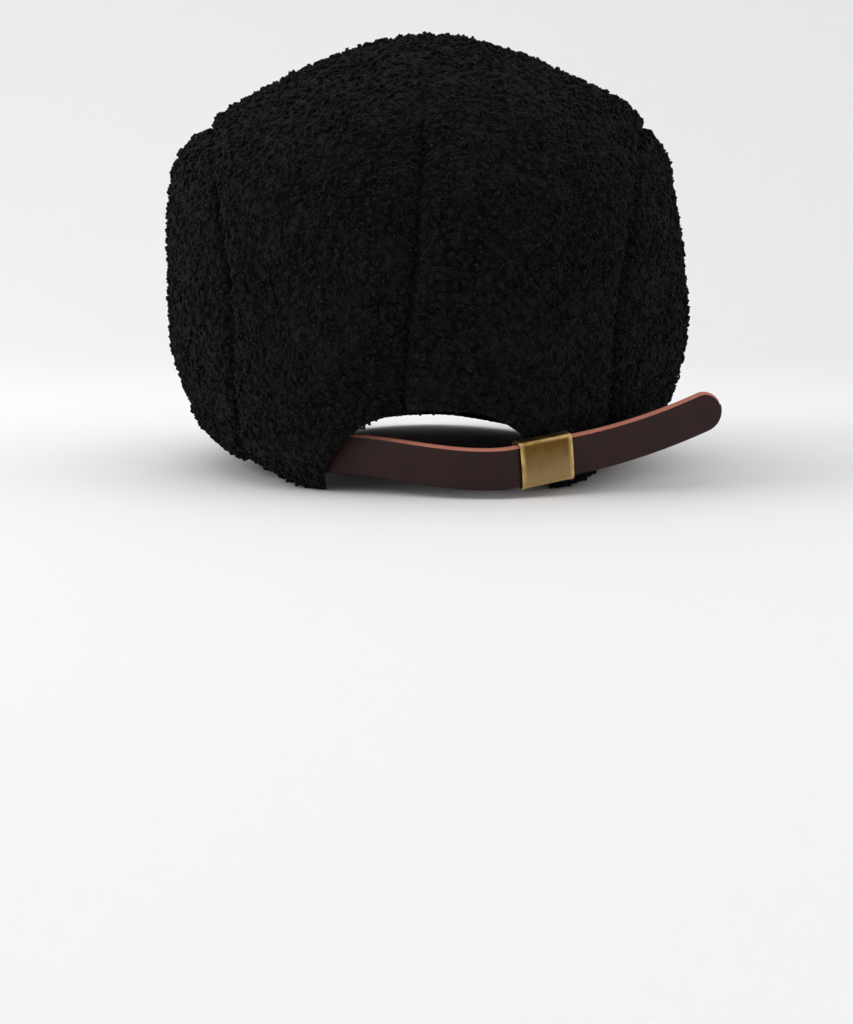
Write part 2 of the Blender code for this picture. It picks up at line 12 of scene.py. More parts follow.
import bmesh
import bpy
import numpy as np
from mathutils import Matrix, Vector

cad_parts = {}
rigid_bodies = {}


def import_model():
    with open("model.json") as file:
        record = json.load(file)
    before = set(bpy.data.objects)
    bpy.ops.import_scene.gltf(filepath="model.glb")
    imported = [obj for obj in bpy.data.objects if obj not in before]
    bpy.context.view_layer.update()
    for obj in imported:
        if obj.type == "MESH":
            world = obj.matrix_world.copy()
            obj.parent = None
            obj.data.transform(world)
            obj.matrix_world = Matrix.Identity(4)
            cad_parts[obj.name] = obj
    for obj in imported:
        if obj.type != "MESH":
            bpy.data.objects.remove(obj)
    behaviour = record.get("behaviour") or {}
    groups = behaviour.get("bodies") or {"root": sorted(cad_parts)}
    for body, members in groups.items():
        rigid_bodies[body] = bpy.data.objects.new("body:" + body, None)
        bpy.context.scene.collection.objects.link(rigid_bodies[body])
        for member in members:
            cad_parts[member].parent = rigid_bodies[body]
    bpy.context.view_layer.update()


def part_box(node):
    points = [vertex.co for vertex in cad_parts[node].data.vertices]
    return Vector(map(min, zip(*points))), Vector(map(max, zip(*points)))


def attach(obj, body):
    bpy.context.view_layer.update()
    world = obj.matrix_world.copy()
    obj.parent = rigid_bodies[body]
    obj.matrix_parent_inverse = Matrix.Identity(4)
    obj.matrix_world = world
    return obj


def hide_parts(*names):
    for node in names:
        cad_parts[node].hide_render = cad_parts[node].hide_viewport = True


bl_info = {
    "name": "Hunting cap",
    "version": (1, 0, 0),
    "blender": (4, 5, 0),
    "location": "3D View > Sidebar > Cap",
    "description": "Curly wool cap with a leather strap in a brass slider",
    "category": "Object",
}

for leftover in list(bpy.data.objects):
    bpy.data.objects.remove(leftover)
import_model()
PEAK_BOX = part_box("peak")

# Crown, the same values as in the part's source
HEAD_WIDTH = 0.158
HEAD_LENGTH = 0.196
CLOTH = 0.003
CROWN_HEIGHT = 0.167
SIDE_FULLNESS = 0.022
BACK_FULLNESS = 0.011
FRONT_FULLNESS = 0.003
APEX_BACK = 0.008
CROWN_SQUARENESS = 2.2
HEM_RISE = 0.0065
HEM_SEAT = math.radians(4.0)
HEM_RISE_SPAN = math.radians(23.0)
HEM_FALL_SPAN = 0.5
HEM_FLAT_RING = 0.10
SEAM_TWIST = math.radians(4.2)
PANEL_END = math.radians(1.2)
DART_RINGS = (0.44, 0.64)
ARCH_RISE = 0.031
ARCH_LEFT = 0.038
ARCH_RIGHT = 0.044
ARCH_POWER = 2.1
PEAK_LENGTH = 0.050
PEAK_LAP = 0.022
PEAK_TURN = math.radians(64.0)
PEAK_ROUNDNESS = 0.42
PEAK_ARCH = 0.010
PEAK_THICKNESS = 0.0045
PEAK_TIP_THICKNESS = 0.0012
PEAK_DROP = 0.35
SEAT_GAP = 0.0009

# One row for each ring, from the hem up. from_hem and of_full are the shares of the hem's and of the fullest
# outline in the plan. up_side, up_back and up_front are the shares of the height between the hem and the apex.
Ring = namedtuple("Ring", "name from_hem of_full up_side up_back up_front")
RINGS = (
    Ring("hem", 1.00, 0.00, 0.000, 0.000, 0.000),
    Ring("turn", 0.69, 0.31, 0.036, 0.036, 0.030),
    Ring("low", 0.20, 0.80, 0.170, 0.160, 0.085),
    Ring("belly", 0.03, 0.97, 0.285, 0.280, 0.135),
    Ring("fullest", 0.00, 1.00, 0.460, 0.420, 0.190),
    Ring("upper", 0.00, 0.99, 0.610, 0.540, 0.260),
    Ring("shoulder", 0.00, 0.955, 0.710, 0.645, 0.330),
    Ring("corner", 0.00, 0.855, 0.780, 0.765, 0.480),
    Ring("slope", 0.00, 0.665, 0.860, 0.875, 0.650),
    Ring("crest", 0.00, 0.50, 0.908, 0.945, 0.780),
    Ring("near_apex", 0.00, 0.29, 0.960, 0.985, 0.900),
    Ring("apex", 0.00, 0.00, 1.000, 1.000, 1.000),
)

# One row for each point of the side panel's seam, from the hem at the back over the shoulder to the hem at the front.
SeamPoint = namedtuple("SeamPoint", "name turn_degrees ring")
SIDE_SEAM = (
    SeamPoint("back_hem", 53.0, 0.00),
    SeamPoint("back_low", 43.0, 0.12),
    SeamPoint("back_middle", 39.5, 0.27),
    SeamPoint("back_high", 43.5, 0.43),
    SeamPoint("back_shoulder", 51.5, 0.54),
    SeamPoint("back_corner", 66.0, 0.59),
    SeamPoint("top", 92.0, 0.595),
    SeamPoint("front_shoulder", 113.0, 0.54),
    SeamPoint("front_middle", 127.0, 0.38),
    SeamPoint("front_low", 134.0, 0.18),
    SeamPoint("front_hem", 137.0, 0.00),
)

# One row for each hollow (or, below zero, each swelling) of the soft cloth. depth is a share of SIDE_FULLNESS.
Dent = namedtuple("Dent", "name turn_degrees ring depth half_turn_degrees half_ring")
DENTS = (
    Dent("right_waist", -92.0, 0.48, 0.31, 38.0, 0.14),
    Dent("right_shoulder", -75.0, 0.64, -0.12, 32.0, 0.07),
    Dent("left_back_fold", 28.0, 0.36, 0.10, 9.0, 0.10),
    Dent("left_back_swell", 14.0, 0.24, -0.055, 8.0, 0.08),
    Dent("right_back_fold", -27.0, 0.30, 0.08, 8.0, 0.12),
    Dent("front_left_fold", 155.0, 0.40, 0.11, 12.0, 0.10),
    Dent("front_right_fold", 204.0, 0.36, 0.09, 10.0, 0.12),
    Dent("top_hollow", 175.0, 0.80, 0.07, 60.0, 0.09),
)

HALF_WIDTH = HEAD_WIDTH / 2 + CLOTH
HALF_LENGTH = HEAD_LENGTH / 2 + CLOTH
COLUMNS = {name: np.array([getattr(ring, name) for ring in RINGS]) for name in Ring._fields[1:]}

# Where the part's source has its origin, seen from the frame: the peak is centred there.
SHIFT = np.array([(PEAK_BOX[0][0] + PEAK_BOX[1][0]) / 2, PEAK_BOX[1][1] + HEAD_LENGTH / 2 * math.cos(PEAK_TURN), 0.0])

# Strap, slider and tab, the same places as in the part's source
STRAP_LEAN = math.radians(6.0)
PIECE_GAP = 0.0003
TAB_WIDTH = 0.012
TAB_THICKNESS = 0.0014
SLIDER_CENTRE = (-0.039174, 0.122311, 0.012600)
SLIDER_ALONG = (-0.910301, -0.389849, 0.139173)
STRAP_ROUTE = (
    (0.06611, 0.06808, 0.01360), (0.06296, 0.07393, 0.01360), (0.06009, 0.07993, 0.01360),
    (0.05779, 0.08616, 0.01360), (0.05487, 0.09213, 0.01360), (0.05126, 0.09770, 0.01360),
    (0.04656, 0.10239, 0.01362), (0.04100, 0.10602, 0.01365), (0.03506, 0.10900, 0.01367),
    (0.02900, 0.11174, 0.01364), (0.02300, 0.11460, 0.01349), (0.01704, 0.11752, 0.01309),
    (0.01106, 0.12036, 0.01253), (0.00499, 0.12301, 0.01189), (-0.00120, 0.12534, 0.01126),
    (-0.00756, 0.12720, 0.01072), (-0.01409, 0.12836, 0.01037), (-0.02072, 0.12854, 0.01034),
    (-0.02725, 0.12742, 0.01078), (-0.02998, 0.12625, 0.01119), (-0.03917, 0.12231, 0.01260),
    (-0.04837, 0.11837, 0.01401), (-0.05110, 0.11720, 0.01442), (-0.05697, 0.11474, 0.01542),
    (-0.06285, 0.11239, 0.01660), (-0.06873, 0.11013, 0.01797), (-0.07460, 0.10799, 0.01953),
    (-0.08046, 0.10595, 0.02128), (-0.08629, 0.10402, 0.02322), (-0.09210, 0.10220, 0.02534),
    (-0.09787, 0.10049, 0.02764), (-0.10360, 0.09889, 0.03012),
)
TAB_ROUTE = (
    (-0.02772, 0.12483, 0.01121), (-0.03431, 0.12201, 0.01222), (-0.04089, 0.11919, 0.01323),
    (-0.04748, 0.11637, 0.01423), (-0.05049, 0.11495, 0.01470), (-0.05345, 0.11341, 0.01517),
    (-0.05635, 0.11177, 0.01564), (-0.05919, 0.11002, 0.01611), (-0.06196, 0.10817, 0.01658),
    (-0.06466, 0.10621, 0.01704),
)

# Cloth grids: the panels' lengths across their seams, along which their rows are counted, how much coarser the side
# panels are along theirs, the distances from a rolled edge of the first rows, how many outer points there are to
# each inner one, and the least height over the floor
TOP_PANEL_SPAN = 0.145
SIDE_PANEL_SPAN = 0.128
SIDE_COARSENESS = 1.55
EDGE_STEPS = np.array([0.0, 0.0003, 0.0007, 0.0012, 0.0018])
INNER_EVERY = 3
FLOOR_CLEARANCE = 0.0001

# The share of the peak's turn at which its two sharp tips are cut off, and how much of a full round an edge takes
PEAK_CUT = 0.996
ROLLED = 0.9

# Pile: how far from a line of stitches it is flatter, how far from one painted shade darkens it, how far from the
# peak's edge it is flatter, how far apart its waves lie and how far they carry a knot, how far apart its slow swells
# lie, large and small, and how far apart clumps of paler curls lie. The peak's underside reads the pattern this far
# off, so that it differs from the top. The inside of the crown is one even tone.
FLAT_PILE = 0.0025
SEAM_SHADE_REACH = 0.003
EDGE_PILE = 0.002
WAVE_SPACING = 0.004
WAVE_REACH = 0.0008
LARGE_SWELL = 0.013
SMALL_SWELL = 0.006
CLUMP_SPACING = 0.0045
UNDERSIDE_PATTERN = [0.0, 0.0, 0.05]
INSIDE_TONE = 0.3

# Knots of the yarn: the radius of a large one in spacings, and the spacing and radius of the small ones between
LARGE_KNOT = 0.75
SMALL_SPACING = 0.55
SMALL_KNOT = 0.8

# Beside a line of stitches the cloth also sinks in a shallow bell, this many times as wide and deep as the groove
WIDE_GROOVE = 3.4
WIDE_DEPTH = 0.35

# Steps: on the pattern disc for a normal, along the side seam, and along the strap and round the slider
DISC_STEP = 0.004
SEAM_PLACES = 400
LEATHER_STEP = 0.0012

# The slider's straight faces have this many rows. Its ends flare over LIP_WIDTH, and turn brighter, partly as rubbed
# metal and partly as a painted highlight, over the last width below, from the one before it short of them.
FACE_ROWS = 13
LIP_WIDTH = 0.0009
RUB_AND_HIGHLIGHT_START = 0.0011
END_RUBBED_AND_HIGHLIT = 0.0009

# How finely a curl is made, how many curls go into one piece, and how many spots are drawn in each square of the
# curls' spacing before they are thinned
CURL_RINGS = 5
CURL_SIDES = 4
CURLS_IN_A_PIECE = 5000
SPOTS_DRAWN = 6

# Curls stay this far from a line of stitches, and may come nearer than that to an edge by EDGE_CURLS
SEAM_CLEARANCE = 0.0013
EDGE_CURLS = 0.0006

# Least and most of what differs from curl to curl: the angle between its axis and the cloth's normal in degrees, its
# turn from upright in radians, how far round it goes in degrees, its size, how far it climbs along its axis in
# radii, how high its middle lies in radii, and the thickness of its yarn
CURL_TILTS = (50.0, 90.0)
CURL_TURNS = (-0.7, 0.7)
CURL_SWEEPS = (190, 310)
CURL_SIZES = (0.65, 1.3)
CURL_CLIMBS = (-1.1, 1.1)
CURL_LIFTS = (-0.9, 0.1)
YARN_SIZES = (0.8, 1.2)

# Repeats in a metre of each pattern: waves in the yarn 3.8 mm long and fuzz 0.4 mm, then pores 0.6 mm apart, rubbed
# patches 11 mm and cut fibres 0.8 mm, then brushed streaks 17 mm long and 0.3 mm wide, and clouds of tarnish 4.3 mm
WOOL_WAVES = 260.0
WOOL_FUZZ = 2400.0
LEATHER_PORES = 1800.0
LEATHER_RUBS = 90.0
LEATHER_FIBRES = 1300.0
BRASS_STREAKS_ALONG = 60.0
BRASS_STREAKS_ACROSS = 3300.0
BRASS_CLOUDS = 230.0

# The backdrop's flat radius, the radius of its bend and its height
BOWL_FLAT = 0.75
BOWL_BEND = 1.1
BOWL_TOP = 1.9
WORLD_COLOUR = "#f5f5f6"
WORLD_STRENGTH = 0.58


def linear(hex_colour):
    """sRGB hex to linear red, green, blue and a full alpha: c/12.92, or ((c + 0.055)/1.055)^2.4 above 0.04045."""
    shares = [int(hex_colour[place : place + 2], 16) / 255 for place in (1, 3, 5)]
    return (*[share / 12.92 if share <= 0.04045 else ((share + 0.055) / 1.055) ** 2.4 for share in shares], 1.0)


def length(name, description, default):
    return bpy.props.FloatProperty(
        name=name, description=description, default=default, min=0.0, precision=5, subtype="DISTANCE", unit="LENGTH"
    )


def colour(name, description, hex_colour):
    return bpy.props.FloatVectorProperty(
        name=name, description=description, default=linear(hex_colour), size=4, min=0.0, max=1.0, subtype="COLOR"
    )


class CapWoolSettings(bpy.types.PropertyGroup):
    """Sizes and colours of the curly wool cloth."""

    thickness: length("Cloth thickness", "Thickness of the wool cloth with its pile", CLOTH)
    grid_step: length("Grid step", "Distance between the points of the cloth's surface", 0.00105)
    sunk: length("Sunk", "How far the cloth lies under the part's surface, to leave room for the curls", 0.0008)
    seam_depth: length("Seam depth", "How deep a line of stitches draws the cloth in", 0.0022)
    seam_width: length("Seam width", "How far from a line of stitches the cloth has rolled back up", 0.0021)
    nub_spacing: length("Nub spacing", "Distance between the knots of the yarn", 0.0033)
    nub_height: length("Nub height", "How far the yarn's knots stand up", 0.0012)
    curl_spacing: length("Curl spacing", "Distance between the separate curls", 0.00237)
    curl_radius: length("Curl radius", "Radius of the loop that a curl of yarn makes", 0.00095)
    yarn_radius: length("Yarn radius", "Half the thickness of the curly yarn", 0.00068)
    # Painted light and shade: the wool is mixed from the dark colour to the light one by the knots' and yarn's height,
    # dark deep between the curls, light on top of them, besides random tone from curl to curl.
    dark_and_shaded: colour("Dark wool", "Colour deep between the curls", "#080808")
    light: colour("Light wool", "Colour on top of the curls", "#1d1d1d")


class CapLeatherSettings(bpy.types.PropertyGroup):
    """Sizes and colours of the strap and the tab."""

    thickness: length("Strap thickness", "Thickness of the strap's leather", 0.0024)
    width: length("Strap width", "Width of the strap", 0.0145)
    bevel: length("Cut edge", "Width of the slanting raw edge along the strap's top", 0.0008)
    grain: length("Grain", "Distance between the pebbles of the leather's grain", 0.0008)
    face: colour("Face", "Colour of the finished face", "#24120f")
    face_light: colour("Rubbed face", "Colour where the face is rubbed", "#2d1916")
    raw: colour("Raw edge", "Colour of the cut edge, where the finish ends", "#c88672")
    raw_deep: colour("Deep raw edge", "Colour between the fibres of the cut edge", "#a35f50")
    flesh: colour("Flesh side", "Colour of the strap's unfinished back", "#6d4a3a")


class CapBrassSettings(bpy.types.PropertyGroup):
    """Sizes and colours of the slider."""

    sheet: length("Sheet", "Thickness of the brass sheet", 0.0007)
    slider_length: length("Slider length", "Length of the slider along the strap", 0.0202)
    bend: length("Bend", "Radius of the sleeve's four bends", 0.0013)
    bulge: length("Bulge", "How far the middle of the slider's face stands out", 0.00025)
    lip: length("Lip", "How far the sleeve's ends flare out", 0.00015)
    metal: colour("Brass", "Colour of the dulled metal", "#978058")
    # The patina colour serves the clouds of tarnish and a painted dark reflection towards the slider's upper edge.
    patina_and_dark_reflection: colour("Patina", "Colour where the metal has darkened", "#62491f")
    # The polished colour is partly rubbed metal and partly a painted highlight on the bends and ends.
    polished_and_highlit: colour("Polished", "Colour where rubbing keeps the metal bright", "#d9b878")


class CapStageSettings(bpy.types.PropertyGroup):
    """Floor and camera."""

    paper: colour("Paper", "Colour of the floor and backdrop", "#f2f2f3")
    lens: bpy.props.FloatProperty(
        name="Lens", description="Focal length of the camera", default=50.98, min=1.0, unit="CAMERA"
    )
    pitch: bpy.props.FloatProperty(
        name="Pitch", description="How far down the camera looks", default=math.radians(9.1), subtype="ANGLE"
    )
    camera_place: bpy.props.FloatVectorProperty(
        name="Camera place", description="Where the camera stands", default=(0.00145, 0.6175, 0.074),
        size=3, subtype="TRANSLATION", unit="LENGTH"
    )


# ---------------------------------------------------------------- numbers and meshes


def smooth_step(share):
    """0 below 0, 1 above 1 and 3s^2 - 2s^3 between."""
    share = np.clip(share, 0.0, 1.0)
    return share * share * (3 - 2 * share)


def unit(vectors):
    """Each vector divided by its length."""
    return vectors / np.maximum(np.linalg.norm(vectors, axis=-1, keepdims=True), 1e-12)


def hashed(cells, seed):
    """A repeatable number from 0 to 1 for each whole-numbered cell: its coordinates mixed by odd multipliers."""
    mixed = (cells.astype(np.int64) * np.array([73856093, 19349663, 83492791])).sum(axis=-1) + seed * 2654435761
    mixed = mixed & 0xFFFFFFFF
    for multiplier in (0x45D9F3B, 0x119DE1F3):
        mixed = ((mixed ^ (mixed >> 16)) * multiplier) & 0xFFFFFFFF
    return (mixed ^ (mixed >> 16)) / 0xFFFFFFFF


def soft_noise(points, spacing, seed):
    """Smooth noise from -1 to 1: hashed values at the corners of cells, blended by smooth steps between them."""
    scaled = points / spacing
    cell = np.floor(scaled)
    near = smooth_step(scaled - cell)
    total = np.zeros(points.shape[:-1])
    for corner in np.ndindex(2, 2, 2):
        weight = np.prod(np.where(np.array(corner) == 1, near, 1 - near), axis=-1)
        total += weight * hashed(cell + corner, seed)
    return total * 2 - 1


def knot_distance(points, spacing, seed):
    """Distance in spacings to the nearest of scattered knots, one at a hashed place in each cell."""
    scaled = points / spacing
    cell = np.floor(scaled)
    nearest = np.full(points.shape[:-1], 9.0)
    for offset in np.ndindex(3, 3, 3):
        other = cell + np.array(offset) - 1
        knot = other + np.stack([hashed(other, seed + axis) for axis in range(3)], axis=-1)
        nearest = np.minimum(nearest, np.linalg.norm(knot - scaled, axis=-1))
    return nearest


def curve_through(at, values, wanted, level_end=False):
    """A cubic curve through the values, whose slope at each is that of a parabola through it and its neighbours."""
    slopes = np.gradient(values, at)
    if level_end:
        slopes[-1] = 0.0
    left = np.clip(np.searchsorted(at, wanted, side="right") - 1, 0, len(at) - 2)
    width = at[left + 1] - at[left]
    share = (wanted - at[left]) / width
    rest = 1 - share
    return (
        values[left] * (1 + 2 * share) * rest**2
        + slopes[left] * width * share * rest**2
        + values[left + 1] * (1 + 2 * rest) * share**2
        - slopes[left + 1] * width * rest * share**2
    )


def distance_along(points, axis):
    """How far each point of a line or grid lies from the first of its row or column, summed from point to point."""
    steps = np.linalg.norm(np.diff(points, axis=axis), axis=-1)
    first = np.zeros_like(np.take(steps, [0], axis=axis))
    return np.concatenate([first, np.cumsum(steps, axis=axis)], axis=axis)


def signed_volume(points, polygons):
    """Sum over the faces, fanned into triangles, of a . (b x c) / 6. It is above zero where faces point outwards."""
    total = 0.0
    for faces in polygons:
        corners = points[faces]
        for place in range(1, faces.shape[1] - 1):
            cross = np.cross(corners[:, place], corners[:, place + 1])
            total += np.einsum("ij,ij->", corners[:, 0], cross) / 6
    return total


def new_piece(name, points, polygons, finish, values, sharp_angle=None):
    """A closed mesh of face arrays, turned to point outwards, riding on the cap.

    values holds an array of one number for each point under each attribute's name. Edges sharper than sharp_angle
    are not shaded smooth.
    """
    if signed_volume(points - points.mean(axis=0), polygons) < 0:
        polygons = [faces[:, ::-1] for faces in polygons]
    corners = np.concatenate([faces.ravel() for faces in polygons])
    sizes = np.concatenate([np.full(len(faces), faces.shape[1]) for faces in polygons])
    mesh = bpy.data.meshes.new(name)
    mesh.vertices.add(len(points))
    mesh.vertices.foreach_set("co", points.astype(np.float32).ravel())
    mesh.loops.add(len(corners))
    mesh.loops.foreach_set("vertex_index", corners.astype(np.int32))
    mesh.polygons.add(len(sizes))
    mesh.polygons.foreach_set("loop_start", np.concatenate([[0], np.cumsum(sizes)[:-1]]).astype(np.int32))
    mesh.update(calc_edges=True)
    if mesh.validate():
        raise ValueError(f"{name} has faces that Blender can't keep")
    mesh.shade_smooth()
    if sharp_angle is not None:
        mesh.set_sharp_from_angle(angle=sharp_angle)
    for key, numbers in values.items():
        attribute = mesh.attributes.new(key, "FLOAT", "POINT")
        attribute.data.foreach_set("value", np.asarray(numbers, np.float32).ravel())
    mesh.materials.append(finish)
    piece = bpy.data.objects.new(name, mesh)
    bpy.context.scene.collection.objects.link(piece)
    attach(piece, "root")
    return piece


def numbered(grid):
    """The point numbers of a grid of points, row by row."""
    return np.arange(grid.shape[0] * grid.shape[1]).reshape(grid.shape[:2])


def above_floor(points):
    """The points, with any that lie lower raised to FLOOR_CLEARANCE."""
    return np.maximum(points, [-np.inf, -np.inf, FLOOR_CLEARANCE])


def grid_faces(index):
    """The four-cornered faces of a grid of point numbers."""
    return np.stack([index[:-1, :-1], index[1:, :-1], index[1:, 1:], index[:-1, 1:]], axis=-1).reshape(-1, 4)


def border(index):
    """The point numbers round a grid, each once."""
    return np.concatenate([index[:-1, 0], index[-1, :-1], index[:0:-1, -1], index[0, :0:-1]])


def sheet_faces(rows, columns, every):
    """Faces of a closed sheet: a fine outer grid, an inner one of every n-th point, and strips between their edges."""
    outer = np.arange(rows * columns).reshape(rows, columns)
    inner_shape = (-(-rows // every), -(-columns // every))
    inner = np.arange(inner_shape[0] * inner_shape[1]).reshape(inner_shape) + rows * columns
    outside, inside = border(outer), border(inner)
    first = np.arange(len(inside)) * every
    rim = [outside[(first + place) % len(outside)] for place in range(every, -1, -1)]
    rim = np.stack([*rim, inside, np.roll(inside, -1)], axis=-1)
    return [grid_faces(outer), grid_faces(inner)[:, ::-1], rim[:, ::-1]]


def places_along(total, step, rolled_start, rolled_end):
    """Shares of a length about a step apart, with EDGE_STEPS at its rolled ends, k INNER_EVERY + 1 of them in all."""
    start = EDGE_STEPS if rolled_start else EDGE_STEPS[:1]
    end = EDGE_STEPS if rolled_end else EDGE_STEPS[:1]
    count = int((total - start[-1] - end[-1]) / step)
    count += -(len(start) + len(end) + count - 2) % INNER_EVERY
    middle = np.linspace(start[-1], total - end[-1], count + 1)[1:-1]
    return np.concatenate([start, middle, (total - end)[::-1]]) / total


# ---------------------------------------------------------------- the crown


def ring_places():
    """The ring, from 0 to 1, of each row of RINGS: its share of the way up the side of the crown."""
    out = COLUMNS["from_hem"] * HALF_WIDTH + COLUMNS["of_full"] * (HALF_WIDTH + SIDE_FULLNESS)
    along = distance_along(np.stack([out, COLUMNS["up_side"] * CROWN_HEIGHT], axis=1), 0)
    return along / along[-1]


RING_PLACES = ring_places()


def front_angle(turn):
    """How far a place lies from the middle of the front."""
    return np.pi - np.abs((turn + np.pi) % (2 * np.pi) - np.pi)


def peak_share(turn):
    """1 at the middle of the peak, falling as a squared cosine to 0 at its two ends."""
    return np.cos(np.clip(front_angle(turn) / PEAK_TURN, 0.0, 1.0) * np.pi / 2) ** 2


def peak_height(turn, reach, on_top):
    """Height of the peak's underside or top, at a share of its reach from the head opening to its edge."""
    share = peak_share(turn)
    under = PEAK_ARCH * share * (1 - PEAK_DROP * reach)
    thickness = PEAK_TIP_THICKNESS + (PEAK_THICKNESS - PEAK_TIP_THICKNESS) * share
    return under + thickness * on_top


def arch_foot(turn):
    """How far from the middle the arch reaches the hem on this side."""
    return np.where(np.sin(turn) > 0, ARCH_LEFT, ARCH_RIGHT)


def hem_height(turn):
    """Height of the hem: on the floor, a little above it over the ears, and on the peak's top at the front."""
    front = front_angle(turn)
    on_peak = smooth_step((PEAK_TURN * (1 + HEM_FALL_SPAN) - front) / (PEAK_TURN * HEM_FALL_SPAN))
    foot_turn = np.arcsin(arch_foot(turn) / HALF_WIDTH)
    rise = HEM_RISE * smooth_step((np.pi - front - foot_turn - HEM_SEAT) / HEM_RISE_SPAN)
    seat = peak_height(turn, PEAK_LAP / PEAK_LENGTH, 1.0) + SEAT_GAP
    return rise + (seat - rise) * on_peak


def hem_plan(turn):
    """The hem in the plan: an ellipse round the head, drawn forward over the peak at the front."""
    return np.stack([HALF_WIDTH * np.sin(turn), HALF_LENGTH * np.cos(turn) - PEAK_LAP * peak_share(turn)], axis=-1)


def full_plan(turn):
    """The fullest outline in the plan: an ellipse with its sine and cosine raised to 2 / squareness."""
    power = 2 / CROWN_SQUARENESS
    sine, cosine = np.sin(turn), np.cos(turn)
    reach = np.where(cosine > 0, HALF_LENGTH + BACK_FULLNESS, HALF_LENGTH + PEAK_LAP + FRONT_FULLNESS)
    across = (HALF_WIDTH + SIDE_FULLNESS) * np.sign(sine) * np.abs(sine) ** power
    return np.stack([across, reach * np.sign(cosine) * np.abs(cosine) ** power], axis=-1)


def arch_ring(turn):
    """The ring at which the arched opening cuts the wall off: its height is ARCH_RISE (1 - share^ARCH_POWER)."""
    share = HALF_WIDTH * np.abs(np.sin(turn)) / arch_foot(turn)
    height = ARCH_RISE * (1 - np.clip(share, 0.0, 1.0) ** ARCH_POWER)
    height = np.where(np.cos(turn) > 0, height, 0.0)
    return np.interp(height / CROWN_HEIGHT, COLUMNS["up_back"], RING_PLACES)


def crown_point(turn, ring):
    """Each ring is a blend of the hem and the fullest outline, lifted by its table row, less a bell for each dent."""
    column = {
        name: curve_through(RING_PLACES, values, ring, level_end=name.startswith("up"))
        for name, values in COLUMNS.items()
    }
    of_full = column["of_full"]
    plan = hem_plan(turn) * column["from_hem"][..., None] + full_plan(turn) * of_full[..., None]
    inward = np.clip(1 - of_full - column["from_hem"], 0.0, 1.0)
    plan[..., 1] += APEX_BACK * inward**2
    outward = np.stack([np.sin(turn), np.cos(turn)], axis=-1)
    for dent in DENTS:
        off = (np.degrees(turn) - dent.turn_degrees + 180) % 360 - 180
        fall = np.exp(-((off / dent.half_turn_degrees) ** 2) - ((ring - dent.ring) / dent.half_ring) ** 2)
        plan -= outward * (dent.depth * SIDE_FULLNESS * fall)[..., None]
    toward = np.cos(turn) ** 2
    up_end = np.where(np.cos(turn) > 0, column["up_back"], column["up_front"])
    up = column["up_side"] + (up_end - column["up_side"]) * toward
    floor = hem_height(turn)
    return np.concatenate([plan, (floor + up * (CROWN_HEIGHT - floor))[..., None]], axis=-1) + SHIFT


def disc_point(across, along):
    """The crown's outside over a place on the pattern disc, with the seams' twist and the arch taken in."""
    radius = np.hypot(across, along)
    turn = np.arctan2(across, along)
    turn = turn + SEAM_TWIST * radius**2 * np.clip(np.cos(turn), 0.0, 1.0)
    cut = arch_ring(turn)
    return crown_point(turn, cut + (1 - cut) * (1 - radius))


def disc_normal(across, along):
    """The cross product of the surface's steps across and along the disc, level at the hem."""
    over = disc_point(across + DISC_STEP, along) - disc_point(across - DISC_STEP, along)
    down = disc_point(across, along + DISC_STEP) - disc_point(across, along - DISC_STEP)
    normal = np.cross(over, down)
    normal[..., 2] *= smooth_step((1 - np.hypot(across, along)) / HEM_FLAT_RING)
    return unit(normal)


def on_rim(turn):
    """The place on the pattern disc's rim at a turn."""
    return np.stack([np.sin(turn), np.cos(turn)], axis=-1)


def side_seam():
    """The left side seam: finely spaced places on the pattern disc and their distances along the cap."""
    turn = np.radians([point.turn_degrees for point in SIDE_SEAM])
    radius = 1 - np.array([point.ring for point in SIDE_SEAM])
    corners = on_rim(turn) * radius[:, None]
    at = distance_along(corners, 0)
    fine = np.linspace(0.0, at[-1], SEAM_PLACES)
    path = np.stack([curve_through(at, column, fine) for column in corners.T], axis=1)
    return path, distance_along(disc_point(path[:, 0], path[:, 1]), 0)


def on_seam(path, along, shares):
    """The seam's places at the given shares of its length."""
    return np.stack([np.interp(shares * along[-1], along, column) for column in path.T], axis=1)


def top_panel_places(seam, stations, across):
    """A Coons patch on the disc, between the two side seams and the back and front stretches of the rim."""
    station = stations[:, None, None]
    share = (across[None, :, None] + 1) / 2
    ends = np.arctan2(seam[[0, -1], 0], seam[[0, -1], 1])
    back = on_rim(ends[0] * across)[None]
    front = on_rim(np.pi - (np.pi - ends[1]) * across)[None]
    left, right = seam[:, None, :], (seam * [-1, 1])[:, None, :]
    bilinear = (1 - station) * ((1 - share) * right[0] + share * left[0]) + station * (
        (1 - share) * right[-1] + share * left[-1]
    )
    return (1 - station) * back + station * front + (1 - share) * right + share * left - bilinear


def side_panel_places(seam, stations, rise, side):
    """Straight lines on the disc from the rim to the seam. The panel comes to a point at both ends."""
    seam = seam * [side, 1]
    ends = np.arctan2(seam[[0, -1], 0], seam[[0, -1], 1]) % (2 * np.pi)
    trim = PANEL_END * side
    rim = on_rim(ends[0] + trim + (ends[1] - ends[0] - 2 * trim) * stations)
    return (1 - rise)[None, :, None] * rim[:, None, :] + rise[None, :, None] * seam[:, None, :]


# ---------------------------------------------------------------- cloth

# A finished cloth: its outer points, the normals there, and how far each point lies from where curls stop
Cloth = namedtuple("Cloth", "outer normal to_bare")


def groove(distance, wool):
    """How deep the cloth is drawn in beside a line of stitches: a narrow bell on a wide shallow one."""
    narrow = np.exp(-((distance / wool.seam_width) ** 2))
    wide = np.exp(-((distance / (WIDE_GROOVE * wool.seam_width)) ** 2))
    return wool.seam_depth * narrow + WIDE_DEPTH * wool.seam_depth * wide


def edge_roll(distance, thickness):
    """How far the face of a rolled edge has turned in: ROLLED (r - sqrt(r^2 - (r - d)^2)) for a round of radius r."""
    radius = thickness / 2
    over = np.clip(radius - distance, 0.0, radius)
    return ROLLED * (radius - np.sqrt(radius**2 - over**2))


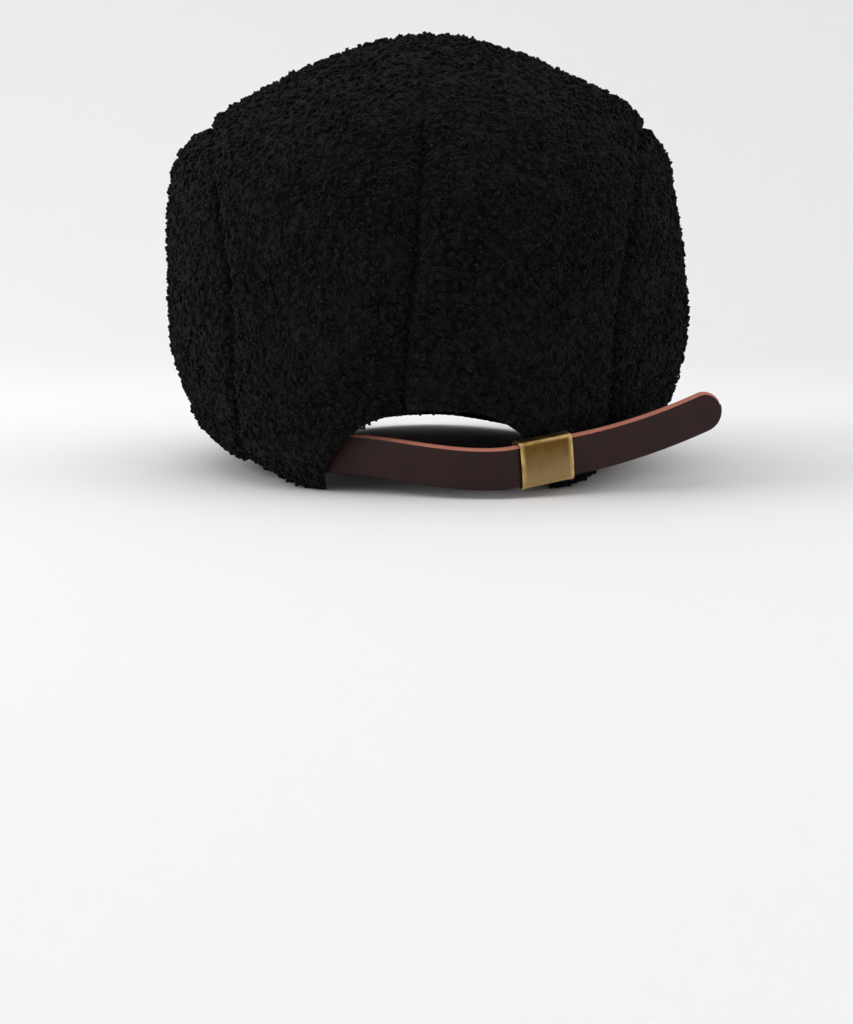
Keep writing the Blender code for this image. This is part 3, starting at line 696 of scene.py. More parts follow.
def nubs(points, wool):
    """Height of the yarn's knots: domes round scattered knots, smaller domes between them and a slow swell."""
    wave = np.stack([soft_noise(points, WAVE_SPACING, seed) for seed in (11, 12, 13)], axis=-1)
    moved = points + wave * WAVE_REACH
    large = 1 - smooth_step(knot_distance(moved, wool.nub_spacing, 21) / LARGE_KNOT)
    small = 1 - smooth_step(knot_distance(moved, wool.nub_spacing * SMALL_SPACING, 31) / SMALL_KNOT)
    swell = soft_noise(points, LARGE_SWELL, 41) * 0.6 + soft_noise(points, SMALL_SWELL, 42) * 0.4
    return wool.nub_height * (0.9 * large + 0.45 * small + 0.6 * swell - 0.35)


def shade_of_height(height, wool):
    """Painted light and shade from the knots' height: 0 shaded deep between the knots, 1 lit on top of them."""
    return smooth_step(height / wool.nub_height * 0.6 + 0.35)


def cloth_sheet(name, base, normal, to_seam, to_edge, dip, wool, finish, node):
    """A wall of cloth: outside = base + (nubs - sunk - dip - roll) along the normal, inside = a thickness in."""
    rolled = edge_roll(to_edge, wool.thickness)
    height = nubs(base, wool) * (0.25 + 0.75 * smooth_step(to_seam / FLAT_PILE))
    outer = base + normal * (height - wool.sunk - dip - rolled)[..., None]
    inner = (base - normal * (wool.thickness + dip - rolled)[..., None])[::INNER_EVERY, ::INNER_EVERY]
    points = above_floor(np.concatenate([outer.reshape(-1, 3), inner.reshape(-1, 3)]))
    # Painted shade: darker deep between the knots, and darker still near a line of stitches, where the groove lies.
    tone_and_shade = shade_of_height(height, wool) * smooth_step(0.2 + to_seam / SEAM_SHADE_REACH)
    tone_and_shade = np.concatenate([tone_and_shade.ravel(), np.full(inner.size // 3, INSIDE_TONE)])
    faces = sheet_faces(*outer.shape[:2], INNER_EVERY)
    piece = new_piece(name, points, faces, finish, {"tone_and_shade": tone_and_shade})
    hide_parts(node)
    return Cloth(outer, normal, np.minimum(to_seam, to_edge + EDGE_CURLS))


def top_panel(wool, finish):
    """The long panel from the arch at the back over the top to the peak, with a dart up the back."""
    path, along = side_seam()
    stations = places_along(along[-1], wool.grid_step, True, True)
    across = places_along(TOP_PANEL_SPAN, wool.grid_step, False, False) * 2 - 1
    places = top_panel_places(on_seam(path, along, stations), stations, across)
    base = disc_point(places[..., 0], places[..., 1])
    normal = disc_normal(places[..., 0], places[..., 1])
    over = distance_along(base, 1)
    to_seam = np.minimum(over, over[:, -1:] - over)
    middle = np.stack([np.interp(0.0, across, row) for row in over])[:, None]
    ring = 1 - np.linalg.norm(places, axis=-1)
    low, high = DART_RINGS
    dart = (1 - smooth_step((ring - low) / (high - low))) * (places[..., 1] > 0)
    to_dart = np.abs(over - middle)
    down = distance_along(base, 0)
    to_edge = np.minimum(down, down[-1:] - down)
    dip = groove(to_seam, wool) + groove(to_dart, wool) * dart
    nearest = np.minimum(to_seam, np.where(dart > 0.4, to_dart, 1.0))
    return cloth_sheet("top_panel_cloth", base, normal, nearest, to_edge, dip, wool, finish, "top_panel")


def side_panel(side, wool, finish):
    """The side panel from the hem up to its seam with the top panel."""
    path, along = side_seam()
    stations = places_along(along[-1], wool.grid_step * SIDE_COARSENESS, False, False)
    rise = places_along(SIDE_PANEL_SPAN, wool.grid_step, True, False)
    places = side_panel_places(on_seam(path, along, stations), stations, rise, side)
    base = disc_point(places[..., 0], places[..., 1])
    normal = disc_normal(places[..., 0], places[..., 1])
    up = distance_along(base, 1)
    to_seam = up[:, -1:] - up
    name = "side_panel_left" if side > 0 else "side_panel_right"
    return cloth_sheet(name + "_cloth", base, normal, to_seam, up, groove(to_seam, wool), wool, finish, name)


def grid_normal(points):
    """The cross product of a grid's steps along its rows and columns."""
    return unit(np.cross(np.gradient(points, axis=1), np.gradient(points, axis=0)))


def peak(wool, finish):
    """The stiff crescent: an arched middle surface with half the board's thickness to each side, round at its edges."""
    count = INNER_EVERY * int(PEAK_TURN * HEAD_WIDTH / wool.grid_step / INNER_EVERY) + 1
    turn = np.pi + np.linspace(-PEAK_CUT, PEAK_CUT, count)[:, None] * PEAK_TURN
    reach = places_along(PEAK_LENGTH, wool.grid_step, True, True)[None, :]
    size = PEAK_LENGTH * peak_share(turn) ** PEAK_ROUNDNESS
    plan = [HEAD_WIDTH / 2 * np.sin(turn) + 0 * reach, HEAD_LENGTH / 2 * np.cos(turn) - size * reach]
    under, top = (peak_height(turn, reach, on_top) for on_top in (0.0, 1.0))
    middle = np.stack([*plan, (under + top) / 2], axis=-1) + SHIFT
    half = (top - under) / 2
    to_edge = np.minimum(reach, 1 - reach) * size
    half = half * np.sqrt(1 - np.clip(1 - to_edge / half, 0.0, 0.97) ** 2)
    normal = grid_normal(middle)
    normal *= np.sign(normal[..., 2:])
    height = nubs(middle, wool) * 0.8 * smooth_step(0.3 + to_edge / EDGE_PILE)
    below = nubs(middle + UNDERSIDE_PATTERN, wool) * 0.5 * smooth_step(to_edge / EDGE_PILE)
    outer = middle + normal * (half + height)[..., None]
    inner = middle - normal * (half + below)[..., None]
    points = above_floor(np.concatenate([outer.reshape(-1, 3), inner.reshape(-1, 3)]))
    # Painted shade from the knots' height, on the top and on the underside, as on the crown.
    tone_and_shade = np.concatenate([shade_of_height(height, wool).ravel(), shade_of_height(below, wool).ravel()])
    faces = sheet_faces(*outer.shape[:2], 1)
    piece = new_piece("peak_cloth", points, faces, finish, {"tone_and_shade": tone_and_shade})
    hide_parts("peak")
    return Cloth(outer, normal, np.ones(outer.shape[:2]))


def scattered(cloth, spacing, random):
    """Spots on a cloth, evenly by area, thinned to one in each cube of space a spacing wide that the cloth passes
    through, and once more with the cubes half a spacing on.
    """
    corner = cloth.outer
    over, down = np.diff(corner, axis=1)[:-1], np.diff(corner, axis=0)[:, :-1]
    area = np.linalg.norm(np.cross(over, down), axis=-1).ravel()
    wanted = int(area.sum() / spacing**2 * SPOTS_DRAWN)
    chosen = np.searchsorted(np.cumsum(area), random.uniform(0.0, area.sum(), wanted))
    row, column = np.unravel_index(np.minimum(chosen, area.size - 1), over.shape[:2])
    across, along = random.uniform(size=(2, wanted, 1))

    def between(grid):
        near = grid[row, column] * (1 - across) + grid[row, column + 1] * across
        far = grid[row + 1, column] * (1 - across) + grid[row + 1, column + 1] * across
        return near * (1 - along) + far * along

    spots, normals = between(cloth.outer), unit(between(cloth.normal))
    to_bare = between(cloth.to_bare[..., None])[:, 0]
    kept = np.flatnonzero(to_bare > SEAM_CLEARANCE)
    for offset in (0.0, 0.5):
        cubes = np.floor(spots[kept] / spacing + offset).astype(int)
        kept = kept[np.sort(np.unique(cubes, axis=0, return_index=True)[1])]
    return spots[kept], normals[kept]


def curls(name, cloth, wool, finish, seed):
    """Loops of yarn on the cloth: each is an open ring in a tilted plane, its two ends tucked into the pile.

    Centre line = spot + lift + r(t) (cos a(t) e1 + sin a(t) e2) + climb, with a(t) swept evenly round the top of
    the ring, and a four-sided tube round it that twists and thins towards its ends.
    """
    random = np.random.default_rng(seed)
    spots, normals = scattered(cloth, wool.curl_spacing, random)
    count = len(spots)

    def varied(span):
        return random.uniform(*span, (count, 1, 1))

    tangent = unit(np.cross(normals, random.normal(size=(count, 3))))
    tilt = np.radians(varied(CURL_TILTS))[:, 0]
    axis = np.cos(tilt) * normals + np.sin(tilt) * tangent
    outward = unit(normals - np.sum(normals * axis, axis=1, keepdims=True) * axis)
    sideways = np.cross(axis, outward)
    step = np.linspace(-0.5, 0.5, CURL_RINGS)[None, :, None]
    angle = varied(CURL_TURNS) + np.radians(varied(CURL_SWEEPS)) * step
    radius = wool.curl_radius * varied(CURL_SIZES) * (1 + 0.35 * step)
    radial = np.cos(angle) * outward[:, None] + np.sin(angle) * sideways[:, None]
    climb = axis[:, None] * step * radius * varied(CURL_CLIMBS)
    lift = normals[:, None] * wool.curl_radius * varied(CURL_LIFTS)
    line = spots[:, None] + lift + radial * radius + climb
    thick = wool.yarn_radius * varied(YARN_SIZES) * (0.55 + 0.5 * np.cos(np.pi * step * 0.9))
    side = np.arange(CURL_SIDES) / CURL_SIDES * 2 * np.pi + step * 4.0
    around = np.cos(side)[..., None] * radial[:, :, None] + np.sin(side)[..., None] * axis[:, None, None]
    points = above_floor((line[:, :, None] + around * thick[..., None]).reshape(-1, 3))
    clump = 0.5 + 0.5 * soft_noise(spots, CLUMP_SPACING, 51)
    tone_and_shade = np.repeat(0.6 * clump + 0.4 * random.uniform(size=count), CURL_RINGS * CURL_SIDES)
    ring = np.arange(CURL_RINGS * CURL_SIDES).reshape(CURL_RINGS, CURL_SIDES)
    wrapped = np.concatenate([ring, ring[:, :1]], axis=1)
    each = np.arange(count)[:, None, None] * ring.size
    walls = (grid_faces(wrapped)[None] + each).reshape(-1, 4)
    ends = (np.stack([ring[0], ring[-1, ::-1]])[None] + each).reshape(-1, CURL_SIDES)
    parts = -(-count // CURLS_IN_A_PIECE)
    for part in range(parts):
        first, last = count * part // parts, count * (part + 1) // parts
        low = first * ring.size
        faces = [walls[first * len(walls) // count : last * len(walls) // count] - low,
                 ends[first * 2 : last * 2] - low]
        number = f"_{part + 1}" if parts > 1 else ""
        new_piece(f"{name}{number}", points[low : last * ring.size], faces, finish,
                  {"tone_and_shade": tone_and_shade[low : last * ring.size]})


# ---------------------------------------------------------------- leather and brass


def strap_axes(tangent):
    """Width and thickness directions of a strap whose top edge leans outwards by STRAP_LEAN."""
    flat = unit(np.stack([tangent[:, 1], -tangent[:, 0], 0 * tangent[:, 0]], axis=1))
    outward = flat * np.where(flat[:, 1:2] < 0, -1, 1)
    upward = np.cross(outward, tangent)
    upward *= np.sign(upward[:, 2:])
    width = math.cos(STRAP_LEAN) * upward + math.sin(STRAP_LEAN) * outward
    through = math.cos(STRAP_LEAN) * outward - math.sin(STRAP_LEAN) * upward
    return width, through


def smooth_route(corners, step):
    """A route through its corners on cubic curves, with points a step apart."""
    corners = np.array(corners)
    at = distance_along(corners, 0)
    wanted = np.linspace(0.0, at[-1], int(at[-1] / step))
    return np.stack([curve_through(at, column, wanted) for column in corners.T], axis=1), wanted


# Once round a strap's section, from the middle of its face over the lower edge, the back and the upper edge.
# side is -1 below and 1 above the strap's middle. from_edge is in shares of the cut edge's width, except that a
# value above LINE_SHARE is a share of the half width. out is a share of half the thickness. raw is the distance
# into the unfinished cut in millimetres, below zero on the finished face. flesh is 1 on the unfinished back.
SectionPoint = namedtuple("SectionPoint", "side from_edge out raw flesh")
LINE_SHARE = 10.0
FINISHED = -3.0
SECTION = (
    SectionPoint(-1, 10.70, 1.00, -3.0, 0),
    SectionPoint(-1, 1.20, 1.00, -3.0, 0),
    SectionPoint(-1, 0.50, 0.97, -3.0, 0),
    SectionPoint(-1, 0.20, 0.82, -3.0, 0),
    SectionPoint(-1, 0.03, 0.50, -3.0, 0),
    SectionPoint(-1, 0.00, 0.00, -2.0, 0),
    SectionPoint(-1, 0.03, -0.60, -1.0, 0),
    SectionPoint(-1, 0.20, -0.90, -1.0, 0.5),
    SectionPoint(-1, 0.60, -1.00, -1.0, 1),
    SectionPoint(-1, 10.70, -1.00, -1.0, 1),
    SectionPoint(1, 10.70, -1.00, -1.0, 1),
    SectionPoint(1, 0.60, -1.00, 0.3, 0.6),
    SectionPoint(1, 0.15, -0.93, 0.9, 0),
    SectionPoint(1, 0.00, -0.65, 1.3, 0),
    SectionPoint(1, 0.00, -0.10, 1.2, 0),
    SectionPoint(1, 0.10, 0.12, 1.0, 0),
    SectionPoint(1, 0.50, 0.58, 0.5, 0),
    SectionPoint(1, 0.88, 0.93, 0.12, 0),
    SectionPoint(1, 1.02, 0.99, -0.1, 0),
    SectionPoint(1, 1.35, 1.00, -0.5, 0),
    SectionPoint(1, 10.70, 1.00, -3.0, 0),
)


def leather_strip(name, corners, width, thickness, cut, raw_edge, round_end, finish, node):
    """A section carried along a route. At a round end each of its lines follows an arc about one centre."""
    route, at = smooth_route(corners, LEATHER_STEP)
    half = width / 2
    edge = np.array([point.from_edge for point in SECTION])
    inset = np.where(edge > LINE_SHARE, (edge - LINE_SHARE) * half, edge * cut)
    side = np.array([point.side for point in SECTION])
    out = np.array([point.out for point in SECTION])
    body = at[at < at[-1] - half] if round_end else at
    place = np.repeat(body[:, None], len(SECTION), axis=1)
    across = np.repeat((side * (half - inset))[None], len(body), axis=0)
    if round_end:
        swing = np.linspace(0.0, np.pi / 2, 19)[:, None]
        place = np.concatenate([place, at[-1] - half + np.sin(swing) * (half - inset)])
        across = np.concatenate([across, np.cos(swing) * side * (half - inset)])
    tangent = unit(np.gradient(route, axis=0))
    frames = [route, *strap_axes(tangent)]
    centre, upward, through = (
        np.stack([np.interp(place, at, column) for column in values.T], axis=-1) for values in frames
    )
    points = centre + upward * across[..., None] + through * (out * thickness / 2)[None, :, None]
    index = numbered(points)
    wrapped = np.concatenate([index, index[:, :1]], axis=1)
    polygons = [grid_faces(wrapped), index[:1, ::-1]]
    if not round_end:
        polygons.append(index[-1:])
    raw = np.array([point.raw for point in SECTION]) if raw_edge else np.full(len(SECTION), FINISHED)
    values = {
        "raw": np.repeat(raw[None], len(place), axis=0),
        "flesh": np.repeat(np.array([point.flesh for point in SECTION])[None], len(place), axis=0),
    }
    piece = new_piece(name, points.reshape(-1, 3), polygons, finish, values, math.radians(50))
    if round_end:
        merge_doubles(piece)
    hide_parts(node)


def merge_doubles(piece):
    """Joins the points that lie on each other, where a round end closes."""
    work = bmesh.new()
    work.from_mesh(piece.data)
    bmesh.ops.remove_doubles(work, verts=work.verts, dist=2e-6)
    bmesh.ops.recalc_face_normals(work, faces=work.faces)
    work.to_mesh(piece.data)
    work.free()


def sleeve_outline(half_up, half_out, bend):
    """A rounded rectangle: at each angle the corner's centre plus the bend, and its outward direction there."""
    swing = np.linspace(0.0, np.pi / 2, 9)
    quarters = [swing + start for start in np.arange(4) * np.pi / 2]
    direction = np.concatenate([np.stack([np.cos(angle), np.sin(angle)], axis=1) for angle in quarters])
    signs = np.repeat([[1, 1], [-1, 1], [-1, -1], [1, -1]], len(swing), axis=0)
    outline = np.concatenate([signs * [half_up - bend, half_out - bend] + bend * direction, direction], axis=1)
    outline = np.concatenate([outline, outline[:1]])
    at = distance_along(outline[:, :2], 0)
    wanted = np.union1d(at, np.arange(0.0, at[-1], LEATHER_STEP))[:-1]
    return np.stack([np.interp(wanted, at, column) for column in outline.T], axis=1), wanted


def slider(brass, strap, finish):
    """A sleeve bent from sheet: a rounded rectangle about the strap, times the sheet's own section with round ends.

    point = middle + x along + (up + n_up t) width + (out + n_out t) through, where up and out run round the sleeve
    and x and t run round the sheet's section, two straight faces joined by half circles.
    """
    along = unit(np.array([SLIDER_ALONG]))
    width, through = (axis[0] for axis in strap_axes(along))
    depth = strap.thickness + TAB_THICKNESS + 3 * PIECE_GAP
    middle = np.array(SLIDER_CENTRE) - through * (TAB_THICKNESS + PIECE_GAP) / 2
    radius = brass.sheet / 2
    half_up, half_out = strap.width / 2 + PIECE_GAP + radius, depth / 2 + radius
    outline, around = sleeve_outline(half_up, half_out, brass.bend)
    on_face = outline[:, 3] > 0.999
    outline[:, 1] += np.where(on_face, brass.bulge * (1 - (outline[:, 0] / (half_up - brass.bend)) ** 2), 0.0)
    straight = np.linspace(-1.0, 1.0, FACE_ROWS) * (brass.slider_length / 2 - radius)
    swing = np.linspace(0.0, np.pi, 9)[1:-1]
    end = straight[-1]
    x = np.concatenate([straight, end + radius * np.sin(swing), straight[::-1], -end - radius * np.sin(swing)])
    flat = np.full(FACE_ROWS, radius)
    offset = np.concatenate([flat, radius * np.cos(swing), -flat, -radius * np.cos(swing)])
    lip = brass.lip * np.exp(-(((np.abs(x) - end) / LIP_WIDTH) ** 2))
    up = outline[:, None, 0] + outline[:, None, 2] * (offset + lip)[None]
    out = outline[:, None, 1] + outline[:, None, 3] * (offset + lip)[None]
    points = middle + x[None, :, None] * along[0] + up[..., None] * width + out[..., None] * through
    index = numbered(points)
    wrapped = np.concatenate([index, index[:1]])
    wrapped = np.concatenate([wrapped, wrapped[:, :1]], axis=1)
    # Painted dark reflection: 0 at the sleeve's lower edge, 1 at its upper edge, darkening the brass towards the top.
    rise = smooth_step((outline[:, 0] / half_up + 1) / 2)
    # Painted highlight and rubbed metal: the brass is made brighter at the upper and lower bends and at the ends.
    bend_rub_and_highlight = 1 - smooth_step(np.abs(np.abs(outline[:, 0]) - (half_up - brass.bend * 0.3)) / (brass.bend * 0.6))
    ends = smooth_step((np.abs(x) - (end - RUB_AND_HIGHLIGHT_START)) / END_RUBBED_AND_HIGHLIT)
    values = {
        "along": np.repeat(x[None], len(around), axis=0),
        "around": np.repeat(around[:, None], len(x), axis=1),
        "rise": np.repeat(rise[:, None], len(x), axis=1),
        "rubbed": np.maximum(bend_rub_and_highlight[:, None], ends[None]),
    }
    piece = new_piece("slider_brass", points.reshape(-1, 3), [grid_faces(wrapped)], finish, values)
    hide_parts("slider")


# ---------------------------------------------------------------- materials

# Sockets of a mix of two colours, whose names it shares with those for numbers
MIX_SHARE = 0
MIX_FROM = 6
MIX_TO = 7
MIX_RESULT = 2


def add_node(tree, kind, inputs=None, **settings):
    """Adds a node with its settings. An input that is a socket is linked, and any other is set as its value."""
    node = tree.nodes.new(kind)
    for key, value in settings.items():
        setattr(node, key, value)
    for key, value in (inputs or {}).items():
        if isinstance(value, bpy.types.NodeSocket):
            tree.links.new(value, node.inputs[key])
        else:
            node.inputs[key].default_value = value
    return node


def new_material(name, **constants):
    """An empty material with one Principled shader, whose constants are set on its own sockets."""
    made = bpy.data.materials.get(name)
    if made is not None:
        bpy.data.materials.remove(made)
    made = bpy.data.materials.new(name)
    made.use_nodes = True
    tree = made.node_tree
    shader = tree.nodes["Principled BSDF"]
    for key, value in constants.items():
        shader.inputs[key.replace("_", " ")].default_value = value
    return made, tree, shader


def curly_wool(wool):
    """Boucle: looped woollen yarn, brushed. Dull and nearly black, a little paler at grazing angles where fibres
    stand up. The yarn, 0.8 mm thick in life, is drawn 1.4 mm thick, and its finest fuzz, 0.02 mm in life, 0.4 mm.
    """
    made, tree, shader = new_material(
        "curly_boucle_wool", Roughness=1.0, Sheen_Weight=0.035, Sheen_Roughness=0.6, Specular_IOR_Level=0.0
    )
    place = add_node(tree, "ShaderNodeTexCoord").outputs["Object"]
    bend = add_node(tree, "ShaderNodeTexNoise", {"Vector": place, "Scale": WOOL_WAVES, "Detail": 2.0})
    shifted = add_node(
        tree, "ShaderNodeVectorMath", {0: bend.outputs["Color"], 1: (0.0011, 0.0011, 0.0011), 2: place},
        operation="MULTIPLY_ADD"
    )
    loops = add_node(
        tree, "ShaderNodeTexVoronoi", {"Vector": shifted.outputs[0], "Scale": 1 / 0.0023}, feature="F1"
    )
    ring = add_node(tree, "ShaderNodeMath", {0: loops.outputs["Distance"], 1: 0.36}, operation="SUBTRACT")
    ring = add_node(tree, "ShaderNodeMath", {0: ring.outputs[0]}, operation="ABSOLUTE")
    yarn = add_node(
        tree, "ShaderNodeMapRange",
        {"Value": ring.outputs[0], "From Min": 0.0, "From Max": 0.26, "To Min": 1.0, "To Max": 0.0},
        interpolation_type="SMOOTHSTEP"
    )
    fuzz = add_node(tree, "ShaderNodeTexNoise", {"Vector": shifted.outputs[0], "Scale": WOOL_FUZZ, "Detail": 3.0})
    height = add_node(
        tree, "ShaderNodeMath", {0: fuzz.outputs["Fac"], 1: 0.55, 2: yarn.outputs[0]}, operation="MULTIPLY_ADD"
    )
    bump = add_node(
        tree, "ShaderNodeBump", {"Height": height.outputs[0], "Strength": 0.8, "Distance": 0.0004}
    )
    tone_and_shade = add_node(tree, "ShaderNodeAttribute", attribute_name="tone_and_shade")
    # Painted light and shade: the colour follows the tone attribute (random tone of the curls, painted shade between
    # the knots and at the seams) and the bump's height, lighter on the raised yarn.
    tone_and_painted_light = add_node(
        tree, "ShaderNodeMath", {0: tone_and_shade.outputs["Fac"], 1: 1.1, 2: height.outputs[0]}, operation="MULTIPLY_ADD"
    )
    blend = add_node(
        tree, "ShaderNodeMapRange", {"Value": tone_and_painted_light.outputs[0], "From Min": 0.4, "From Max": 2.4}
    )
    colour = add_node(
        tree, "ShaderNodeMix", {MIX_SHARE: blend.outputs[0], MIX_FROM: tuple(wool.dark_and_shaded), MIX_TO: tuple(wool.light)},
        data_type="RGBA"
    )
    tree.links.new(colour.outputs[MIX_RESULT], shader.inputs["Base Color"])
    tree.links.new(bump.outputs[0], shader.inputs["Normal"])
    return made


def strap_leather(leather):
    """Chrome-tanned cowhide, aniline dyed dark brown and lightly waxed: satin, with pebbles of grain 0.8 mm apart
    (0.3 mm in life, drawn coarser to show). The cut upper edge is undyed, pink and fibrous. The back is suede-like.
    """
    made, tree, shader = new_material("waxed_brown_cowhide", Specular_IOR_Level=0.2)
    place = add_node(tree, "ShaderNodeTexCoord").outputs["Object"]
    grain = add_node(
        tree, "ShaderNodeTexVoronoi", {"Vector": place, "Scale": 1 / leather.grain, "Smoothness": 0.6},
        feature="SMOOTH_F1"
    )
    pores = add_node(tree, "ShaderNodeTexNoise", {"Vector": place, "Scale": LEATHER_PORES, "Detail": 4.0})
    broad = add_node(tree, "ShaderNodeTexNoise", {"Vector": place, "Scale": LEATHER_RUBS, "Detail": 3.0})
    rubbed = add_node(tree, "ShaderNodeMapRange", {"Value": broad.outputs["Fac"], "From Min": 0.35, "From Max": 0.75})
    face = add_node(
        tree, "ShaderNodeMix",
        {MIX_SHARE: rubbed.outputs[0], MIX_FROM: tuple(leather.face), MIX_TO: tuple(leather.face_light)},
        data_type="RGBA"
    )
    fibre = add_node(tree, "ShaderNodeTexNoise", {"Vector": place, "Scale": LEATHER_FIBRES, "Detail": 3.0})
    raw_tone = add_node(
        tree, "ShaderNodeMix",
        {MIX_SHARE: fibre.outputs["Fac"], MIX_FROM: tuple(leather.raw), MIX_TO: tuple(leather.raw_deep)},
        data_type="RGBA"
    )
    raw = add_node(tree, "ShaderNodeAttribute", attribute_name="raw")
    ragged = add_node(
        tree, "ShaderNodeMath", {0: fibre.outputs["Fac"], 1: 0.7, 2: raw.outputs["Fac"]}, operation="MULTIPLY_ADD"
    )
    cut = add_node(tree, "ShaderNodeMapRange", {"Value": ragged.outputs[0], "From Min": 0.27, "From Max": 0.45})
    flesh = add_node(tree, "ShaderNodeAttribute", attribute_name="flesh")
    both_sides = add_node(
        tree, "ShaderNodeMix",
        {MIX_SHARE: flesh.outputs["Fac"], MIX_FROM: face.outputs[MIX_RESULT], MIX_TO: tuple(leather.flesh)},
        data_type="RGBA"
    )
    colour = add_node(
        tree, "ShaderNodeMix",
        {MIX_SHARE: cut.outputs[0], MIX_FROM: both_sides.outputs[MIX_RESULT], MIX_TO: raw_tone.outputs[MIX_RESULT]},
        data_type="RGBA"
    )
    dull = add_node(tree, "ShaderNodeMath", {0: cut.outputs[0], 1: flesh.outputs["Fac"]}, operation="MAXIMUM")
    satin = add_node(
        tree, "ShaderNodeMapRange",
        {"Value": pores.outputs["Fac"], "From Min": 0.3, "From Max": 0.7, "To Min": 0.36, "To Max": 0.5}
    )
    roughness = add_node(
        tree, "ShaderNodeMath", {0: dull.outputs[0], 1: 0.45, 2: satin.outputs[0]}, operation="MULTIPLY_ADD"
    )
    height = add_node(
        tree, "ShaderNodeMath", {0: pores.outputs["Fac"], 1: 0.4, 2: grain.outputs["Distance"]},
        operation="MULTIPLY_ADD"
    )
    bump = add_node(tree, "ShaderNodeBump", {"Height": height.outputs[0], "Strength": 0.35, "Distance": 0.00012})
    tree.links.new(colour.outputs[MIX_RESULT], shader.inputs["Base Color"])
    tree.links.new(roughness.outputs[0], shader.inputs["Roughness"])
    tree.links.new(bump.outputs[0], shader.inputs["Normal"])
    return made


def aged_brass(brass):
    """Sheet brass, brushed along its length and left to darken: soft long reflections with fine streaks 0.3 mm
    apart, brown patina in clouds, a painted dark reflection deepening towards the upper edge, and brighter metal at
    the bends and ends, partly rubbed and partly a painted highlight.
    """
    made, tree, shader = new_material("brushed_aged_brass", Metallic=1.0)
    place = add_node(tree, "ShaderNodeTexCoord").outputs["Object"]
    along = add_node(tree, "ShaderNodeAttribute", attribute_name="along")
    around = add_node(tree, "ShaderNodeAttribute", attribute_name="around")
    lengthwise, crosswise = (
        add_node(tree, "ShaderNodeMath", {0: place.outputs["Fac"], 1: repeats}, operation="MULTIPLY")
        for place, repeats in ((along, BRASS_STREAKS_ALONG), (around, BRASS_STREAKS_ACROSS))
    )
    streak_place = add_node(tree, "ShaderNodeCombineXYZ", {"X": lengthwise.outputs[0], "Y": crosswise.outputs[0]})
    streaks = add_node(
        tree, "ShaderNodeTexNoise", {"Vector": streak_place.outputs[0], "Scale": 1.0, "Detail": 3.0}
    )
    clouds = add_node(tree, "ShaderNodeTexNoise", {"Vector": place, "Scale": BRASS_CLOUDS, "Detail": 4.0})
    # Painted dark reflection: the rise attribute darkens the brass towards its upper edge, over the clouds of patina.
    rise = add_node(tree, "ShaderNodeAttribute", attribute_name="rise")
    patina_and_reflection_amount = add_node(
        tree, "ShaderNodeMath", {0: clouds.outputs["Fac"], 1: 0.5, 2: rise.outputs["Fac"]}, operation="MULTIPLY_ADD"
    )
    patina_and_reflection_share = add_node(tree, "ShaderNodeMapRange", {"Value": patina_and_reflection_amount.outputs[0], "From Min": 0.3, "From Max": 1.2})
    tarnish_and_dark_reflection = add_node(
        tree, "ShaderNodeMix", {MIX_SHARE: patina_and_reflection_share.outputs[0], MIX_FROM: tuple(brass.metal), MIX_TO: tuple(brass.patina_and_dark_reflection)},
        data_type="RGBA"
    )
    # Painted highlight and rubbed metal: the bends and ends are mixed in patches towards the polished colour.
    rubbed = add_node(tree, "ShaderNodeAttribute", attribute_name="rubbed")
    patchy = add_node(tree, "ShaderNodeMapRange", {"Value": clouds.outputs["Fac"], "From Min": 0.25, "From Max": 0.6})
    rubbed_and_highlit = add_node(
        tree, "ShaderNodeMath", {0: rubbed.outputs["Fac"], 1: patchy.outputs[0]}, operation="MULTIPLY"
    )
    colour = add_node(
        tree, "ShaderNodeMix",
        {MIX_SHARE: rubbed_and_highlit.outputs[0], MIX_FROM: tarnish_and_dark_reflection.outputs[MIX_RESULT], MIX_TO: tuple(brass.polished_and_highlit)},
        data_type="RGBA"
    )
    rough = add_node(
        tree, "ShaderNodeMapRange",
        {"Value": streaks.outputs["Fac"], "From Min": 0.3, "From Max": 0.7, "To Min": 0.3, "To Max": 0.44}
    )
    bump = add_node(
        tree, "ShaderNodeBump", {"Height": streaks.outputs["Fac"], "Strength": 0.25, "Distance": 0.00006}
    )
    tree.links.new(colour.outputs[MIX_RESULT], shader.inputs["Base Color"])
    tree.links.new(rough.outputs[0], shader.inputs["Roughness"])
    tree.links.new(bump.outputs[0], shader.inputs["Normal"])
    return made


def matt_paper(stage):
    """Matt background paper: one even pale tone, without gloss."""
    made, _, shader = new_material("matt_paper", Roughness=0.95, Specular_IOR_Level=0.1)
    shader.inputs["Base Color"].default_value = tuple(stage.paper)
    return made


# ---------------------------------------------------------------- stage


def paper_bowl(finish):
    """A seamless backdrop all round: a flat floor, a quarter circle and a wall, turned about the middle."""
    swing = np.linspace(0.0, np.pi / 2, 25)
    out = np.concatenate([[0.02, 0.2, 0.5], BOWL_FLAT + BOWL_BEND * np.sin(swing), [BOWL_FLAT + BOWL_BEND]])
    up = np.concatenate([[0.0, 0.0, 0.0], BOWL_BEND * (1 - np.cos(swing)), [BOWL_TOP]])
    turn = np.linspace(0.0, 2 * np.pi, 97)[:-1, None]
    points = np.stack([out * np.cos(turn), out * np.sin(turn), up + 0 * turn], axis=-1)
    index = numbered(points)
    faces = grid_faces(np.concatenate([index, index[:1]]))
    mesh = bpy.data.meshes.new("paper_bowl")
    mesh.from_pydata(points.reshape(-1, 3).tolist(), [], [*faces.tolist(), index[::-1, 0].tolist()])
    mesh.shade_smooth()
    mesh.materials.append(finish)
    bowl = bpy.data.objects.new("paper_bowl", mesh)
    bpy.context.scene.collection.objects.link(bowl)


